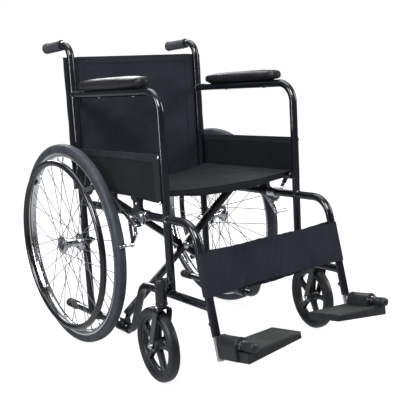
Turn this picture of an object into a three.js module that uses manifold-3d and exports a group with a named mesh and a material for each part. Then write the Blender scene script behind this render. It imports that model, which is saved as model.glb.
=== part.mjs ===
// A folding manual wheelchair: two welded tube side frames joined by a scissor brace, with spoked
// rear wheels, swivelling casters, a sling seat and back, flip-up footplates and toggle brakes.
// Millimetres. +X is the sitter's left, -Y is the front and +Z is up. The origin is on the floor,
// on the centre plane, midway along the chair.
import * as THREE from "three";
import { mergeVertices } from "three/addons/utils/BufferGeometryUtils.js";
import Module from "manifold-3d";

const wasm = await Module();
wasm.setup();

// Driving dimensions.
const FRAME_X = 232; // centre plane of each side frame
const TUBE_R = 11;
const GAP = 0.3; // between pieces that touch
const AXLE_Y = 236; // rear axle, and the back post that carries it
const FRONT_POST_Y = AXLE_Y - 453;
const LOWER_Z = 75; // lower rail
const BRACE_Z = 225; // front run of the lower rail, which carries the casters
const SIDE_RAIL_Z = 424;
const SEAT_RAIL_Z = 480;
const ARM_Z = 750;
const HANDLE_Z = 899;
const HANDLE_LENGTH = 148;
const HANDLE_DROP = 0.027; // fall of the handle tube per millimetre rearward
const FRONT_BEND_R = 55;

const WHEEL_R = 305;
const WHEEL_SEGMENTS = 40;
const WHEEL_X = 283; // centre plane of a rear wheel
const TYRE_WIDTH = 28;
const TYRE_INNER_R = 279.5;
const RIM_OUTER_R = 278;
const RIM_INNER_R = 264;
const RIM_WIDTH = 25;
const HAND_RIM_X = 316;
const HAND_RIM_R = 251;
const HAND_RIM_TUBE_R = 9.5;
const HAND_RIM_TABS = 4;
const SPOKES_PER_FLANGE = 16;
const FLANGE_X = 27; // from the wheel's centre plane
const FLANGE_R = 28;
const AXLE_R = 6;

const CASTER_R = 100;
const CASTER_SEGMENTS = 32;
const CASTER_WIDTH = 28;
const CASTER_STEM_X = 284;
const CASTER_STEM_Y = AXLE_Y - 480;
const CASTER_TRAIL = 36;
const CASTER_SPOKES = 5;
const CASTER_TURN = { right: -6, left: -12 }; // degrees about +Z, as the chair stands
const FORK_LEG_X = 19; // inner face of a fork leg
const FORK_THICK = 4;
const HOUSING_R = 16;
const HOUSING_BOTTOM_Z = 214;
const HOUSING_TOP_Z = 277;

const HANGER_LEAN = THREE.MathUtils.degToRad(13);
const HANGER_CORNER_Y = AXLE_Y - 571;
const HANGER_END_Z = 157;
const FOOTREST_TUBE_R = 9.2;
const FOOTREST_TUBE_INSIDE = 105; // length held inside the hanger
const FOOTREST_TUBE_END_Z = 97;
const FOOT_ROD_Z = 144; // where the footplate's rod leaves the footrest tube
const FOOT_ROD_RISE = THREE.MathUtils.degToRad(8);
const FOOT_ROD_R = 7;
const FOOTPLATE_REST_TILT = { right: 2.5, left: 5 }; // degrees, inner edge up

const SCISSOR_Y = AXLE_Y - 195; // centre of the front scissor tube
const SCISSOR_PITCH = 24; // from the front scissor tube to the rear one
const SCISSOR_TUBE = 22;
const SCISSOR_ANGLE = THREE.MathUtils.degToRad(37.2);
const SCISSOR_TUBE_LENGTH = 557;
const SCISSOR_Z = (LOWER_Z + SEAT_RAIL_Z) / 2;
const SLEEVE_LENGTH = 56;

const CLOTH = 2.4;
const CLOTH_GAP = 0.7; // between a cloth and the tube it wraps
const BACK_BOTTOM_Z = 455;
const BACK_TOP_Z = 861;
const GUARD_BOTTOM_Z = 462;
const GUARD_TOP_Z = 603;
const GUARD_X = 247.2; // inner face

const BRAKE_PLATE_X = 246.6; // inner face of the clamp's plate
const BRAKE_THICK = 3.2;
const SHOE_PIVOT = { y: AXLE_Y - 300, z: 402 };
const SHOE_ARM_LENGTH = 62;
const SHOE_ROD_R = 5;
const SHOE_LOCKED_ANGLE = -98.4; // degrees from straight back, in the side view
const SHOE_TRAVEL = 35;
const LEVER_PIVOT = { y: AXLE_Y - 338, z: 396 };
const LEVER_CRANK = 19.4;
const LEVER_LENGTH = 177;
const LEVER_LOCKED_ANGLE = 32; // degrees up from straight back
const LEVER_TRAVEL = 91.5;
const LINK_LENGTH = 46.2;
const LINK_LOCKED_ANGLE = 128.9; // from the shoe towards the lever
const LINK_TRAVEL = 70.1;
const BRAKE_LOCKED = { right: true, left: false };

const PAINT = material(0x0b0c0e, 0.22, 0.3);
const CHROME = material(0xd8dade, 0.12, 1);
const FABRIC = material(0x23262d, 0.9, 0);
const RUBBER = material(0x2b2e36, 0.7, 0);
const PLASTIC = material(0x141518, 0.4, 0);
const PAD = material(0x101114, 0.25, 0);
const TYRE = material(0x3a3e49, 0.75, 0);

function material(color, roughness, metalness) {
  return new THREE.MeshStandardMaterial({ color, roughness, metalness });
}

const chair = new THREE.Group();

function add(group, name, geometry, finish) {
  const mesh = new THREE.Mesh(geometry, finish);
  mesh.name = name;
  group.add(mesh);
  return mesh;
}

// ---- Geometry helpers ----

function toSolid(geometry) {
  let bare = geometry.clone();
  for (const name of Object.keys(bare.attributes)) {
    if (name !== "position") bare.deleteAttribute(name);
  }
  bare = mergeVertices(bare, 1e-3);
  const solid = new wasm.Manifold(
    new wasm.Mesh({
      numProp: 3,
      vertProperties: bare.attributes.position.array,
      triVerts: new Uint32Array(bare.index.array),
    }),
  );
  return solid;
}

function toGeometry(solid) {
  const mesh = solid.getMesh();
  const geometry = new THREE.BufferGeometry();
  geometry.setAttribute("position", new THREE.BufferAttribute(mesh.vertProperties, 3));
  geometry.setIndex(new THREE.BufferAttribute(mesh.triVerts, 1));
  return geometry;
}

function join(...geometries) {
  return toGeometry(geometries.map(toSolid).reduce((sum, next) => sum.add(next)));
}

function cut(geometry, ...cutters) {
  return toGeometry(cutters.map(toSolid).reduce((rest, next) => rest.subtract(next), toSolid(geometry)));
}

// A tube's centre line: straight runs joined by arcs. Its stations are the ends of the runs and the
// points along the arcs, so an extrusion along it spends no steps on the straight runs.
class BentPath extends THREE.Curve {
  constructor(corners, bendRadius, degreesPerStep = 13) {
    super();
    const first = corners[1].clone().sub(corners[0]).normalize();
    this.stations = [{ point: corners[0], tangent: first }];
    for (let i = 1; i < corners.length - 1; i++) {
      const into = corners[i].clone().sub(corners[i - 1]).normalize();
      const out = corners[i + 1].clone().sub(corners[i]).normalize();
      const turn = into.angleTo(out);
      const axis = into.clone().cross(out).normalize();
      const inward = axis.clone().cross(into);
      const start = corners[i].clone().addScaledVector(into, -bendRadius * Math.tan(turn / 2));
      const steps = Math.ceil(THREE.MathUtils.radToDeg(turn) / degreesPerStep);
      for (let k = 0; k <= steps; k++) {
        const angle = (turn * k) / steps;
        const point = start
          .clone()
          .addScaledVector(into, bendRadius * Math.sin(angle))
          .addScaledVector(inward, bendRadius * (1 - Math.cos(angle)));
        this.stations.push({ point, tangent: into.clone().applyAxisAngle(axis, angle) });
      }
    }
    const last = corners.at(-1).clone().sub(corners.at(-2)).normalize();
    this.stations.push({ point: corners.at(-1), tangent: last });
  }
  station(u) {
    return this.stations[Math.round(u * (this.stations.length - 1))];
  }
  getPointAt(u) {
    return this.station(u).point.clone();
  }
  getTangentAt(u) {
    return this.station(u).tangent.clone();
  }
}

function circle(radius, sides) {
  const points = [];
  for (let i = 0; i < sides; i++) {
    const angle = (2 * Math.PI * (i + 0.5)) / sides;
    points.push(new THREE.Vector2(radius * Math.cos(angle), radius * Math.sin(angle)));
  }
  return new THREE.Shape(points);
}

function bentTube(corners, bendRadius, radius = TUBE_R, sides = 12) {
  const path = new BentPath(corners, bendRadius);
  return new THREE.ExtrudeGeometry(circle(radius, sides), {
    steps: path.stations.length - 1,
    extrudePath: path,
  });
}

// A point of a side frame's own plane.
function inFrame(y, z) {
  return new THREE.Vector3(FRAME_X, y, z);
}

function rod(from, to, radius, sides = 12) {
  const length = from.distanceTo(to);
  const geometry = new THREE.CylinderGeometry(radius, radius, length, sides);
  const along = to.clone().sub(from).normalize();
  const turn = new THREE.Quaternion().setFromUnitVectors(new THREE.Vector3(0, 1, 0), along);
  const middle = from.clone().add(to).multiplyScalar(0.5);
  return geometry.applyQuaternion(turn).translate(middle.x, middle.y, middle.z);
}

function box(width, depth, height, x, y, z) {
  return new THREE.BoxGeometry(width, depth, height).translate(x, y, z);
}

// A body of revolution about the X axis. The profile lists [x, radius]. With an even number of
// segments a flat lies at the bottom, so that a wheel stands on it.
function turned(profile, segments) {
  const points = profile.map(([x, radius]) => new THREE.Vector2(radius, x));
  const geometry = new THREE.LatheGeometry(points, segments, Math.PI / segments);
  geometry.rotateZ(-Math.PI / 2);
  return facingOut(geometry);
}

function turnedRing(profile, segments) {
  return turned([...profile, profile[0]], segments);
}

// Reverses every face where the faces point into the body.
function facingOut(geometry) {
  let bare = geometry.clone();
  bare.deleteAttribute("normal");
  bare.deleteAttribute("uv");
  bare = mergeVertices(bare, 1e-3);
  const index = bare.index.array;
  const at = (i) => new THREE.Vector3().fromBufferAttribute(bare.attributes.position, index[i]);
  let volume = 0;
  for (let i = 0; i < index.length; i += 3) {
    volume += at(i).dot(at(i + 1).cross(at(i + 2)));
  }
  if (volume < 0) {
    for (let i = 0; i < index.length; i += 3) {
      [index[i + 1], index[i + 2]] = [index[i + 2], index[i + 1]];
    }
  }
  return bare;
}

// A shape drawn in the side view, [y, z], and given a thickness outboard from x.
function sidePlate(shape, x, thickness) {
  const geometry = new THREE.ExtrudeGeometry(shape, {
    depth: thickness,
    bevelEnabled: false,
    curveSegments: 5,
  });
  const toSideView = new THREE.Matrix4().makeBasis(
    new THREE.Vector3(0, 1, 0),
    new THREE.Vector3(0, 0, 1),
    new THREE.Vector3(1, 0, 0),
  );
  return geometry.applyMatrix4(toSideView).translate(x, 0, 0);
}

// The outline of a flat link with round ends, from a to b in the side view.
function linkShape(a, b, width, farWidth = width) {
  const along = Math.atan2(b.z - a.z, b.y - a.y);
  const shape = new THREE.Shape();
  shape.absarc(a.y, a.z, width / 2, along + Math.PI / 2, along + (3 * Math.PI) / 2);
  shape.absarc(b.y, b.z, farWidth / 2, along - Math.PI / 2, along + Math.PI / 2);
  shape.closePath();
  return shape;
}

function hole(shape, at, radius) {
  const path = new THREE.Path();
  path.absarc(at.y, at.z, radius, 0, 2 * Math.PI, true);
  shape.holes.push(path);
  return shape;
}

// A point at a distance and an angle in degrees from another, in the side view.
function polar(from, length, degrees) {
  const angle = THREE.MathUtils.degToRad(degrees);
  return { y: from.y + length * Math.cos(angle), z: from.z + length * Math.sin(angle) };
}

// A closed outline of constant thickness along a line of 2-D points.
function ribbon(points, thickness) {
  const one = [];
  const other = [];
  points.forEach((point, i) => {
    const before = points[Math.max(i - 1, 0)];
    const after = points[Math.min(i + 1, points.length - 1)];
    const normal = new THREE.Vector2(before.y - after.y, after.x - before.x).normalize();
    one.push(point.clone().addScaledVector(normal, thickness / 2));
    other.push(point.clone().addScaledVector(normal, -thickness / 2));
  });
  return new THREE.Shape([...one, ...other.reverse()]);
}

function arcPoints(x, y, radius, fromDegrees, toDegrees, steps) {
  const points = [];
  for (let i = 0; i <= steps; i++) {
    const angle = THREE.MathUtils.degToRad(fromDegrees + ((toDegrees - fromDegrees) * i) / steps);
    points.push(new THREE.Vector2(x + radius * Math.cos(angle), y + radius * Math.sin(angle)));
  }
  return points;
}

const WRAP_R = TUBE_R + CLOTH_GAP + CLOTH / 2;

// The line of a cloth that wraps a tube on each side and sags between them. The wrap is an arc
// about (FRAME_X, 0) on the +X side; sag is how far the middle lies from the ends, along y.
function slingLine(wrapFrom, wrapTo, edgeX, edgeY, sag) {
  const steps = Math.ceil(Math.abs(wrapTo - wrapFrom) / 20);
  const wrap = arcPoints(FRAME_X, 0, WRAP_R, wrapFrom, wrapTo, steps);
  const span = [];
  for (let i = 0; i <= 10; i++) {
    const share = i / 10;
    const x = edgeX * (1 - 2 * share);
    span.push(new THREE.Vector2(x, edgeY + sag * (1 - (1 - 2 * share) ** 2)));
  }
  const mirrored = wrap.map((point) => new THREE.Vector2(-point.x, point.y)).reverse();
  return [...wrap, ...span, ...mirrored];
}

// ---- Side frame ----

const AXLE_Z = WHEEL_R * Math.cos(Math.PI / WHEEL_SEGMENTS);

const HANGER_DOWN = new THREE.Vector3(0, -Math.sin(HANGER_LEAN), -Math.cos(HANGER_LEAN));

// The hanger's centre line at a height.
function hangerAt(z) {
  const y = HANGER_CORNER_Y - (SIDE_RAIL_Z - z) * Math.tan(HANGER_LEAN);
  return inFrame(y, z);
}

function backPost() {
  const tube = bentTube(
    [
      inFrame(AXLE_Y, LOWER_Z),
      inFrame(AXLE_Y, HANDLE_Z),
      inFrame(AXLE_Y + HANDLE_LENGTH, HANDLE_Z - HANDLE_DROP * HANDLE_LENGTH),
    ],
    42,
  );
  const axleBore = rod(
    new THREE.Vector3(FRAME_X - 30, AXLE_Y, AXLE_Z),
    new THREE.Vector3(FRAME_X + 30, AXLE_Y, AXLE_Z),
    AXLE_R + 0.6,
  );
  return cut(tube, railCutter(), axleBore);
}

// The room that a tube welded onto the lower rail leaves for it.
function railCutter() {
  return rod(inFrame(AXLE_Y - 100, LOWER_Z), inFrame(AXLE_Y + 100, LOWER_Z), TUBE_R + GAP, 16);
}

function postCutter(y) {
  return rod(inFrame(y, LOWER_Z), inFrame(y, ARM_Z - FRONT_BEND_R), TUBE_R + GAP, 16);
}

function armTube() {
  const tube = bentTube(
    [inFrame(AXLE_Y, ARM_Z), inFrame(FRONT_POST_Y, ARM_Z), inFrame(FRONT_POST_Y, BRACE_Z)],
    FRONT_BEND_R,
  );
  const backPostCutter = rod(
    inFrame(AXLE_Y, ARM_Z - 50),
    inFrame(AXLE_Y, ARM_Z + 50),
    TUBE_R + GAP,
    16,
  );
  const braceCutter = rod(
    inFrame(FRONT_POST_Y - 50, BRACE_Z),
    inFrame(FRONT_POST_Y + 50, BRACE_Z),
    TUBE_R + GAP,
    16,
  );
  return cut(tube, backPostCutter, braceCutter);
}

function sideRail() {
  const tube = bentTube([inFrame(AXLE_Y, SIDE_RAIL_Z), inFrame(FRONT_POST_Y, SIDE_RAIL_Z)], 1);
  return cut(tube, postCutter(AXLE_Y), postCutter(FRONT_POST_Y));
}

function footrestHanger() {
  const tube = bentTube(
    [
      inFrame(FRONT_POST_Y, SIDE_RAIL_Z),
      inFrame(HANGER_CORNER_Y, SIDE_RAIL_Z),
      hangerAt(HANGER_END_Z),
    ],
    60,
  );
  const bore = rod(
    hangerAt(HANGER_END_Z - 10),
    hangerAt(HANGER_END_Z + FOOTREST_TUBE_INSIDE + 8),
    FOOTREST_TUBE_R + 0.8,
  );
  return cut(tube, postCutter(FRONT_POST_Y), bore);
}

function lowerRail() {
  const tube = bentTube(
    [
      inFrame(AXLE_Y + 146, LOWER_Z),
      inFrame(AXLE_Y - 246, LOWER_Z),
      inFrame(AXLE_Y - 314, BRACE_Z),
      hangerAt(BRACE_Z),
    ],
    42,
  );
  const hangerCutter = rod(hangerAt(BRACE_Z + 60), hangerAt(BRACE_Z - 60), TUBE_R + GAP, 16);
  return cut(tube, hangerCutter);
}

function casterHousing() {
  const at = (z) => new THREE.Vector3(CASTER_STEM_X, CASTER_STEM_Y, z);
  const barrel = rod(at(HOUSING_BOTTOM_Z), at(HOUSING_TOP_Z), HOUSING_R, 20);
  const bore = rod(at(HOUSING_BOTTOM_Z - 5), at(HOUSING_TOP_Z - 6), 8);
  const outline = new THREE.Shape([
    new THREE.Vector2(FRAME_X, FRONT_POST_Y + 17),
    new THREE.Vector2(FRAME_X, FRONT_POST_Y - 17),
    new THREE.Vector2(CASTER_STEM_X - 6, CASTER_STEM_Y - 13),
    new THREE.Vector2(CASTER_STEM_X + 6, CASTER_STEM_Y + 13),
  ]);
  const gusset = (z) =>
    new THREE.ExtrudeGeometry(outline, { depth: 5, bevelEnabled: false }).translate(0, 0, z);
  const welded = join(barrel, gusset(BRACE_Z + 14), gusset(HOUSING_TOP_Z - 13));
  return cut(welded, bore, postCutter(FRONT_POST_Y));
}

function pushGrip() {
  const bore = TUBE_R + 0.6;
  const profile = [
    [0, bore],
    [0, 16.5],
    [3, 16.5],
    [6, 15],
    [90, 14.5],
    [98, 16.5],
    [104, 16.5],
    [107, 13],
    [107, 0],
    [100, 0],
    [100, bore],
  ];
  const grip = turned([...profile, profile[0]], 16);
  grip.rotateZ(Math.PI / 2);
  return grip;
}

function tippingLeverCap() {
  const bore = TUBE_R + 0.6;
  const profile = [
    [0, bore],
    [0, 14],
    [52, 14],
    [57, 10],
    [57, 0],
    [52, 0],
    [52, bore],
  ];
  const cap = turned([...profile, profile[0]], 16);
  cap.rotateZ(Math.PI / 2);
  return cap;
}

function armrestPad() {
  const halfWidth = 25;
  const length = 330;
  const outline = new THREE.Shape();
  outline.moveTo(-halfWidth, 0);
  outline.absarc(0, -length + halfWidth, halfWidth, Math.PI, 2 * Math.PI);
  outline.lineTo(halfWidth, 0);
  outline.closePath();
  const top = new THREE.ExtrudeGeometry(outline, {
    depth: 12,
    bevelEnabled: true,
    bevelSize: 4,
    bevelOffset: -4,
    bevelThickness: 3,
    bevelSegments: 1,
    curveSegments: 10,
  }).translate(0, 0, 14);
  const base = box(30, length - 40, 12, 0, -length / 2, 6);
  return join(top, base);
}

function skirtGuard() {
  const back = AXLE_Y + 8;
  const front = FRONT_POST_Y - 12;
  return box(
    CLOTH,
    back - front,
    GUARD_TOP_Z - GUARD_BOTTOM_Z,
    GUARD_X + CLOTH / 2,
    (back + front) / 2,
    (GUARD_TOP_Z + GUARD_BOTTOM_Z) / 2,
  );
}

// A cradle on the side rail that the seat rail comes to rest in.
function seatSaddle() {
  const y = AXLE_Y - 318;
  const length = 30;
  const block = box(22, length, SEAT_RAIL_Z - SIDE_RAIL_Z, 0, 0, 0).translate(
    FRAME_X,
    y,
    (SEAT_RAIL_Z + SIDE_RAIL_Z) / 2,
  );
  const seatRail = rod(inFrame(y - 40, SEAT_RAIL_Z), inFrame(y + 40, SEAT_RAIL_Z), 15, 20);
  const sideRailCutter = rod(
    inFrame(y - 40, SIDE_RAIL_Z),
    inFrame(y + 40, SIDE_RAIL_Z),
    TUBE_R + GAP,
    20,
  );
  return cut(block, seatRail, sideRailCutter);
}

// ---- Rear wheel, about its own axle, with +X outboard ----

function tyre() {
  const half = TYRE_WIDTH / 2;
  return turnedRing(
    [
      [-half + 3, TYRE_INNER_R],
      [-half, TYRE_INNER_R + 8],
      [-half + 1, WHEEL_R - 8],
      [-half * 0.5, WHEEL_R],
      [half * 0.5, WHEEL_R],
      [half - 1, WHEEL_R - 8],
      [half, TYRE_INNER_R + 8],
      [half - 3, TYRE_INNER_R],
    ],
    WHEEL_SEGMENTS,
  );
}

function wheelRim() {
  const half = RIM_WIDTH / 2;
  return turnedRing(
    [
      [-half, RIM_OUTER_R],
      [half, RIM_OUTER_R],
      [half, RIM_OUTER_R - 7],
      [half * 0.4, RIM_INNER_R],
      [-half * 0.4, RIM_INNER_R],
      [-half, RIM_OUTER_R - 7],
    ],
    WHEEL_SEGMENTS,
  );
}

function handRim() {
  const profile = arcPoints(HAND_RIM_X - WHEEL_X, HAND_RIM_R, HAND_RIM_TUBE_R, 22.5, 337.5, 7);
  const ring = turnedRing(
    profile.map((point) => [point.x, point.y]),
    WHEEL_SEGMENTS,
  );
  const tabs = [];
  for (let i = 0; i < HAND_RIM_TABS; i++) {
    const inner = RIM_WIDTH / 2 + GAP;
    const outer = HAND_RIM_X - WHEEL_X;
    const tab = box(outer - inner, 14, 12, (outer + inner) / 2, 0, HAND_RIM_R + 6);
    tabs.push(tab.rotateX((2 * Math.PI * (i + 0.5)) / HAND_RIM_TABS));
  }
  return join(ring, ...tabs);
}

// Hub barrel with two flanges and an outer dust cap, and the spokes that are hooked into it.
function wheelHub() {
  const boreR = AXLE_R + 0.8;
  const inner = -WHEEL_X + FRAME_X + TUBE_R + 7;
  const barrel = turnedRing(
    [
      [inner, boreR],
      [inner, 13],
      [-FLANGE_X - 4, 15],
      [-FLANGE_X - 2, FLANGE_R],
      [-FLANGE_X + 2, FLANGE_R],
      [-FLANGE_X + 5, 15],
      [FLANGE_X - 5, 15],
      [FLANGE_X - 2, FLANGE_R],
      [FLANGE_X + 2, FLANGE_R],
      [FLANGE_X + 4, 24],
      [FLANGE_X + 8, 22],
      [FLANGE_X + 8, 0],
      [FLANGE_X + 3, 0],
      [FLANGE_X + 3, boreR],
    ],
    16,
  );
  const spokes = [];
  for (const side of [-1, 1]) {
    for (let i = 0; i < SPOKES_PER_FLANGE; i++) {
      const angle = (2 * Math.PI * (i + (side > 0 ? 0.5 : 0))) / SPOKES_PER_FLANGE;
      const lean = i % 2 ? 1 : -1;
      const from = onCircle(side * FLANGE_X + lean * 1.7, FLANGE_R - 2, angle + lean * 0.9);
      const to = onCircle(side * 1.5, RIM_INNER_R - 3, angle);
      spokes.push(rod(from, to, 1.2, 3));
    }
  }
  return join(barrel, ...spokes);
}

function onCircle(x, radius, angle) {
  return new THREE.Vector3(x, radius * Math.cos(angle), radius * Math.sin(angle));
}

// Axle bolt through the back post, with its nut inboard and its collar between post and hub.
function rearAxle() {
  const at = (x) => new THREE.Vector3(x, AXLE_Y, AXLE_Z);
  const bolt = rod(at(FRAME_X - TUBE_R - 14), at(WHEEL_X + FLANGE_X + 1), AXLE_R);
  const nut = rod(at(FRAME_X - TUBE_R - 11), at(FRAME_X - TUBE_R - GAP), 10, 6);
  const collar = rod(at(FRAME_X + TUBE_R + GAP), at(FRAME_X + TUBE_R + 6), 11, 16);
  return join(bolt, nut, collar);
}

// ---- Caster, about its stem's axis at floor level, with the wheel trailing towards +Y ----

const CASTER_AXLE_Z = CASTER_R * Math.cos(Math.PI / CASTER_SEGMENTS);

function casterFork() {
  const crownTop = HOUSING_BOTTOM_Z - 5;
  const legWidth = 25;
  const legShape = new THREE.Shape();
  legShape.moveTo(-legWidth / 2, crownTop);
  legShape.lineTo(-legWidth / 2, crownTop - 24);
  legShape.absarc(CASTER_TRAIL, CASTER_AXLE_Z, 11, Math.PI, 2 * Math.PI);
  legShape.lineTo(legWidth / 2 + 4, crownTop - 24);
  legShape.lineTo(legWidth / 2, crownTop);
  legShape.closePath();
  const outerX = FORK_LEG_X + FORK_THICK;
  const axle = (x) => new THREE.Vector3(x, CASTER_TRAIL, CASTER_AXLE_Z);
  const up = (z) => new THREE.Vector3(0, 0, z);
  return join(
    box(2 * outerX, legWidth, FORK_THICK, 0, 0, crownTop - FORK_THICK / 2),
    sidePlate(legShape, FORK_LEG_X, FORK_THICK),
    sidePlate(legShape, -outerX, FORK_THICK),
    rod(up(crownTop - 1), up(HOUSING_TOP_Z - 10), 6.5),
    rod(up(crownTop - 1), up(HOUSING_BOTTOM_Z - GAP), 13, 16),
    rod(axle(-outerX), axle(outerX), 5),
    rod(axle(-outerX - 5), axle(-outerX), 9, 6),
    rod(axle(outerX), axle(outerX + 5), 9, 6),
  );
}

function casterTyre() {
  const half = CASTER_WIDTH / 2;
  return turnedRing(
    [
      [-half, 77],
      [-half, CASTER_R - 8],
      [-half * 0.55, CASTER_R],
      [half * 0.55, CASTER_R],
      [half, CASTER_R - 8],
      [half, 77],
    ],
    CASTER_SEGMENTS,
  );
}

function casterWheel() {
  const ringHalf = 12;
  const ring = turnedRing(
    [
      [-ringHalf, 76],
      [ringHalf, 76],
      [ringHalf, 62],
      [-ringHalf, 62],
    ],
    CASTER_SEGMENTS,
  );
  const hubHalf = FORK_LEG_X - 1;
  const hub = turnedRing(
    [
      [-hubHalf, 6],
      [-hubHalf, 17],
      [hubHalf, 17],
      [hubHalf, 6],
    ],
    16,
  );
  const spokes = [];
  for (let i = 0; i < CASTER_SPOKES; i++) {
    const angle = (2 * Math.PI * (i + 0.15)) / CASTER_SPOKES;
    spokes.push(box(18, 15, 52, 0, 0, 39).rotateX(angle));
  }
  return join(ring, hub, ...spokes);
}

// ---- Footrest ----

const FOOT_ROD_START = hangerAt(FOOT_ROD_Z);

// Local frame of the footplate's rod: y back along the rod, z square to it.
function footRodGroup(parent) {
  const group = new THREE.Group();
  group.position.copy(FOOT_ROD_START);
  group.rotation.x = -FOOT_ROD_RISE;
  parent.add(group);
  return group;
}

const FOOT_ROD_LENGTH = 118;
// Distances forward along the rod.
const KNOB_START = 100;
const KNOB_LENGTH = 41.5;
const SLEEVE_START = 21;
const SLEEVE_END = 92;
const BUSH_R = 13.4;
const FOOTPLATE_BACK = 4;
const FOOTPLATE_FRONT = 133;

function footrestTube() {
  const tube = rod(
    hangerAt(HANGER_END_Z + FOOTREST_TUBE_INSIDE),
    hangerAt(FOOTREST_TUBE_END_Z),
    FOOTREST_TUBE_R,
  );
  const forward = new THREE.Vector3(0, -Math.cos(FOOT_ROD_RISE), Math.sin(FOOT_ROD_RISE));
  const rodEnd = FOOT_ROD_START.clone().addScaledVector(forward, FOOT_ROD_LENGTH);
  return join(tube, rod(FOOT_ROD_START, rodEnd, FOOT_ROD_R));
}

function footrestKnob() {
  const bore = FOOT_ROD_R + 0.5;
  const inside = FOOT_ROD_LENGTH - KNOB_START + 1;
  const profile = [
    [0, bore],
    [0, 13],
    [KNOB_LENGTH - 3, 13],
    [KNOB_LENGTH, 10],
    [KNOB_LENGTH, 0],
    [inside, 0],
    [inside, bore],
  ];
  const knob = turned([...profile, profile[0]], 16);
  return knob.rotateZ(-Math.PI / 2).translate(0, -KNOB_START, 0);
}

// Bearing bush: it lines the footplate's sleeve and stands out at its front.
function footplateBush() {
  const back = SLEEVE_START + 1.5 - SLEEVE_END - 1;
  const bush = turnedRing(
    [
      [back, FOOT_ROD_R + 0.5],
      [back, BUSH_R],
      [6, BUSH_R],
      [6, FOOT_ROD_R + 0.5],
    ],
    16,
  );
  return bush.rotateZ(-Math.PI / 2).translate(0, -SLEEVE_END - 1, 0);
}

// Plate, half-round sleeve and outer wall in one moulding. Local x is outboard.
function footplate() {
  const plateTop = -14;
  const plateBottom = -36;
  const innerEdge = -177;
  const outerEdge = 20;
  const section = new THREE.Shape();
  section.moveTo(outerEdge, plateBottom);
  section.absarc(0, 0, outerEdge, 0, Math.PI);
  section.lineTo(-outerEdge, plateTop);
  section.lineTo(-outerEdge, plateBottom);
  section.closePath();
  // Drawn as x and z, and swept along the rod.
  const sweep = (shape, from, to) =>
    new THREE.ExtrudeGeometry(shape, { depth: to - from, bevelEnabled: false, curveSegments: 10 })
      .rotateX(Math.PI / 2)
      .translate(0, -from, 0);
  const sleeve = sweep(section, SLEEVE_START, SLEEVE_END);
  // Drawn from above as x and y, forward being -y.
  const outline = new THREE.Shape([
    new THREE.Vector2(-16, -FOOTPLATE_BACK),
    new THREE.Vector2(innerEdge + 8, -FOOTPLATE_BACK),
    new THREE.Vector2(innerEdge, -FOOTPLATE_BACK - 8),
    new THREE.Vector2(innerEdge, -FOOTPLATE_FRONT + 8),
    new THREE.Vector2(innerEdge + 8, -FOOTPLATE_FRONT),
    new THREE.Vector2(outerEdge - 6, -FOOTPLATE_FRONT),
    new THREE.Vector2(outerEdge, -FOOTPLATE_FRONT + 6),
    new THREE.Vector2(outerEdge, -SLEEVE_START),
    new THREE.Vector2(-16, -SLEEVE_START),
  ]);
  const plate = new THREE.ExtrudeGeometry(outline, {
    depth: plateTop - plateBottom,
    bevelEnabled: false,
  }).translate(0, 0, plateBottom);
  const bore = rod(
    new THREE.Vector3(0, 0, 0),
    new THREE.Vector3(0, -SLEEVE_END - 10, 0),
    BUSH_R + 0.5,
  );
  return cut(join(sleeve, plate), bore);
}

// ---- Brake: clamp and plate, shoe arm, link and lever, side by side outboard of the frame ----

function brakeClamp() {
  const y = AXLE_Y - 352;
  const band = rod(inFrame(y - 17, SIDE_RAIL_Z), inFrame(y + 17, SIDE_RAIL_Z), 14.4, 20);
  const ear = box(8, 26, 20, FRAME_X + 13.5, y, SIDE_RAIL_Z - 12);
  const plateShape = new THREE.Shape([
    new THREE.Vector2(y - 16, SIDE_RAIL_Z + 12),
    new THREE.Vector2(y - 16, SIDE_RAIL_Z - 26),
    new THREE.Vector2(LEVER_PIVOT.y - 4, LEVER_PIVOT.z - 12),
    new THREE.Vector2(SHOE_PIVOT.y + 10, SHOE_PIVOT.z - 9),
    new THREE.Vector2(SHOE_PIVOT.y + 10, SHOE_PIVOT.z + 9),
    new THREE.Vector2(y + 18, SIDE_RAIL_Z + 12),
  ]);
  const plate = sidePlate(plateShape, BRAKE_PLATE_X, BRAKE_THICK);
  const bore = rod(
    inFrame(y - 30, SIDE_RAIL_Z),
    inFrame(y + 30, SIDE_RAIL_Z),
    TUBE_R + GAP,
    20,
  );
  const bridge = box(6.8, 30, 12, BRAKE_PLATE_X + BRAKE_THICK - 3.4, y, SIDE_RAIL_Z);
  return cut(join(band, ear, bridge, plate), bore);
}

// Inner faces of the moving parts' layers.
const SHOE_LAYER = BRAKE_PLATE_X + BRAKE_THICK + GAP;
const LINK_LAYER = SHOE_LAYER + BRAKE_THICK + GAP;
const LEVER_LAYER = LINK_LAYER + BRAKE_THICK + GAP;

function shoeEnd(locked) {
  return polar(SHOE_PIVOT, SHOE_ARM_LENGTH, SHOE_LOCKED_ANGLE - (locked ? 0 : SHOE_TRAVEL));
}

function brakeShoe(locked) {
  const end = shoeEnd(locked);
  const arm = sidePlate(linkShape(SHOE_PIVOT, end, 14), SHOE_LAYER, BRAKE_THICK);
  const at = (x) => new THREE.Vector3(x, end.y, end.z);
  return join(arm, rod(at(SHOE_LAYER + 1), at(WHEEL_X + 11), SHOE_ROD_R));
}

function brakeLink(locked) {
  const from = shoeEnd(locked);
  const to = polar(from, LINK_LENGTH, LINK_LOCKED_ANGLE - (locked ? 0 : LINK_TRAVEL));
  const shape = hole(linkShape(from, to, 15, 9), from, SHOE_ROD_R + 0.5);
  return sidePlate(shape, LINK_LAYER, BRAKE_THICK);
}

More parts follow.
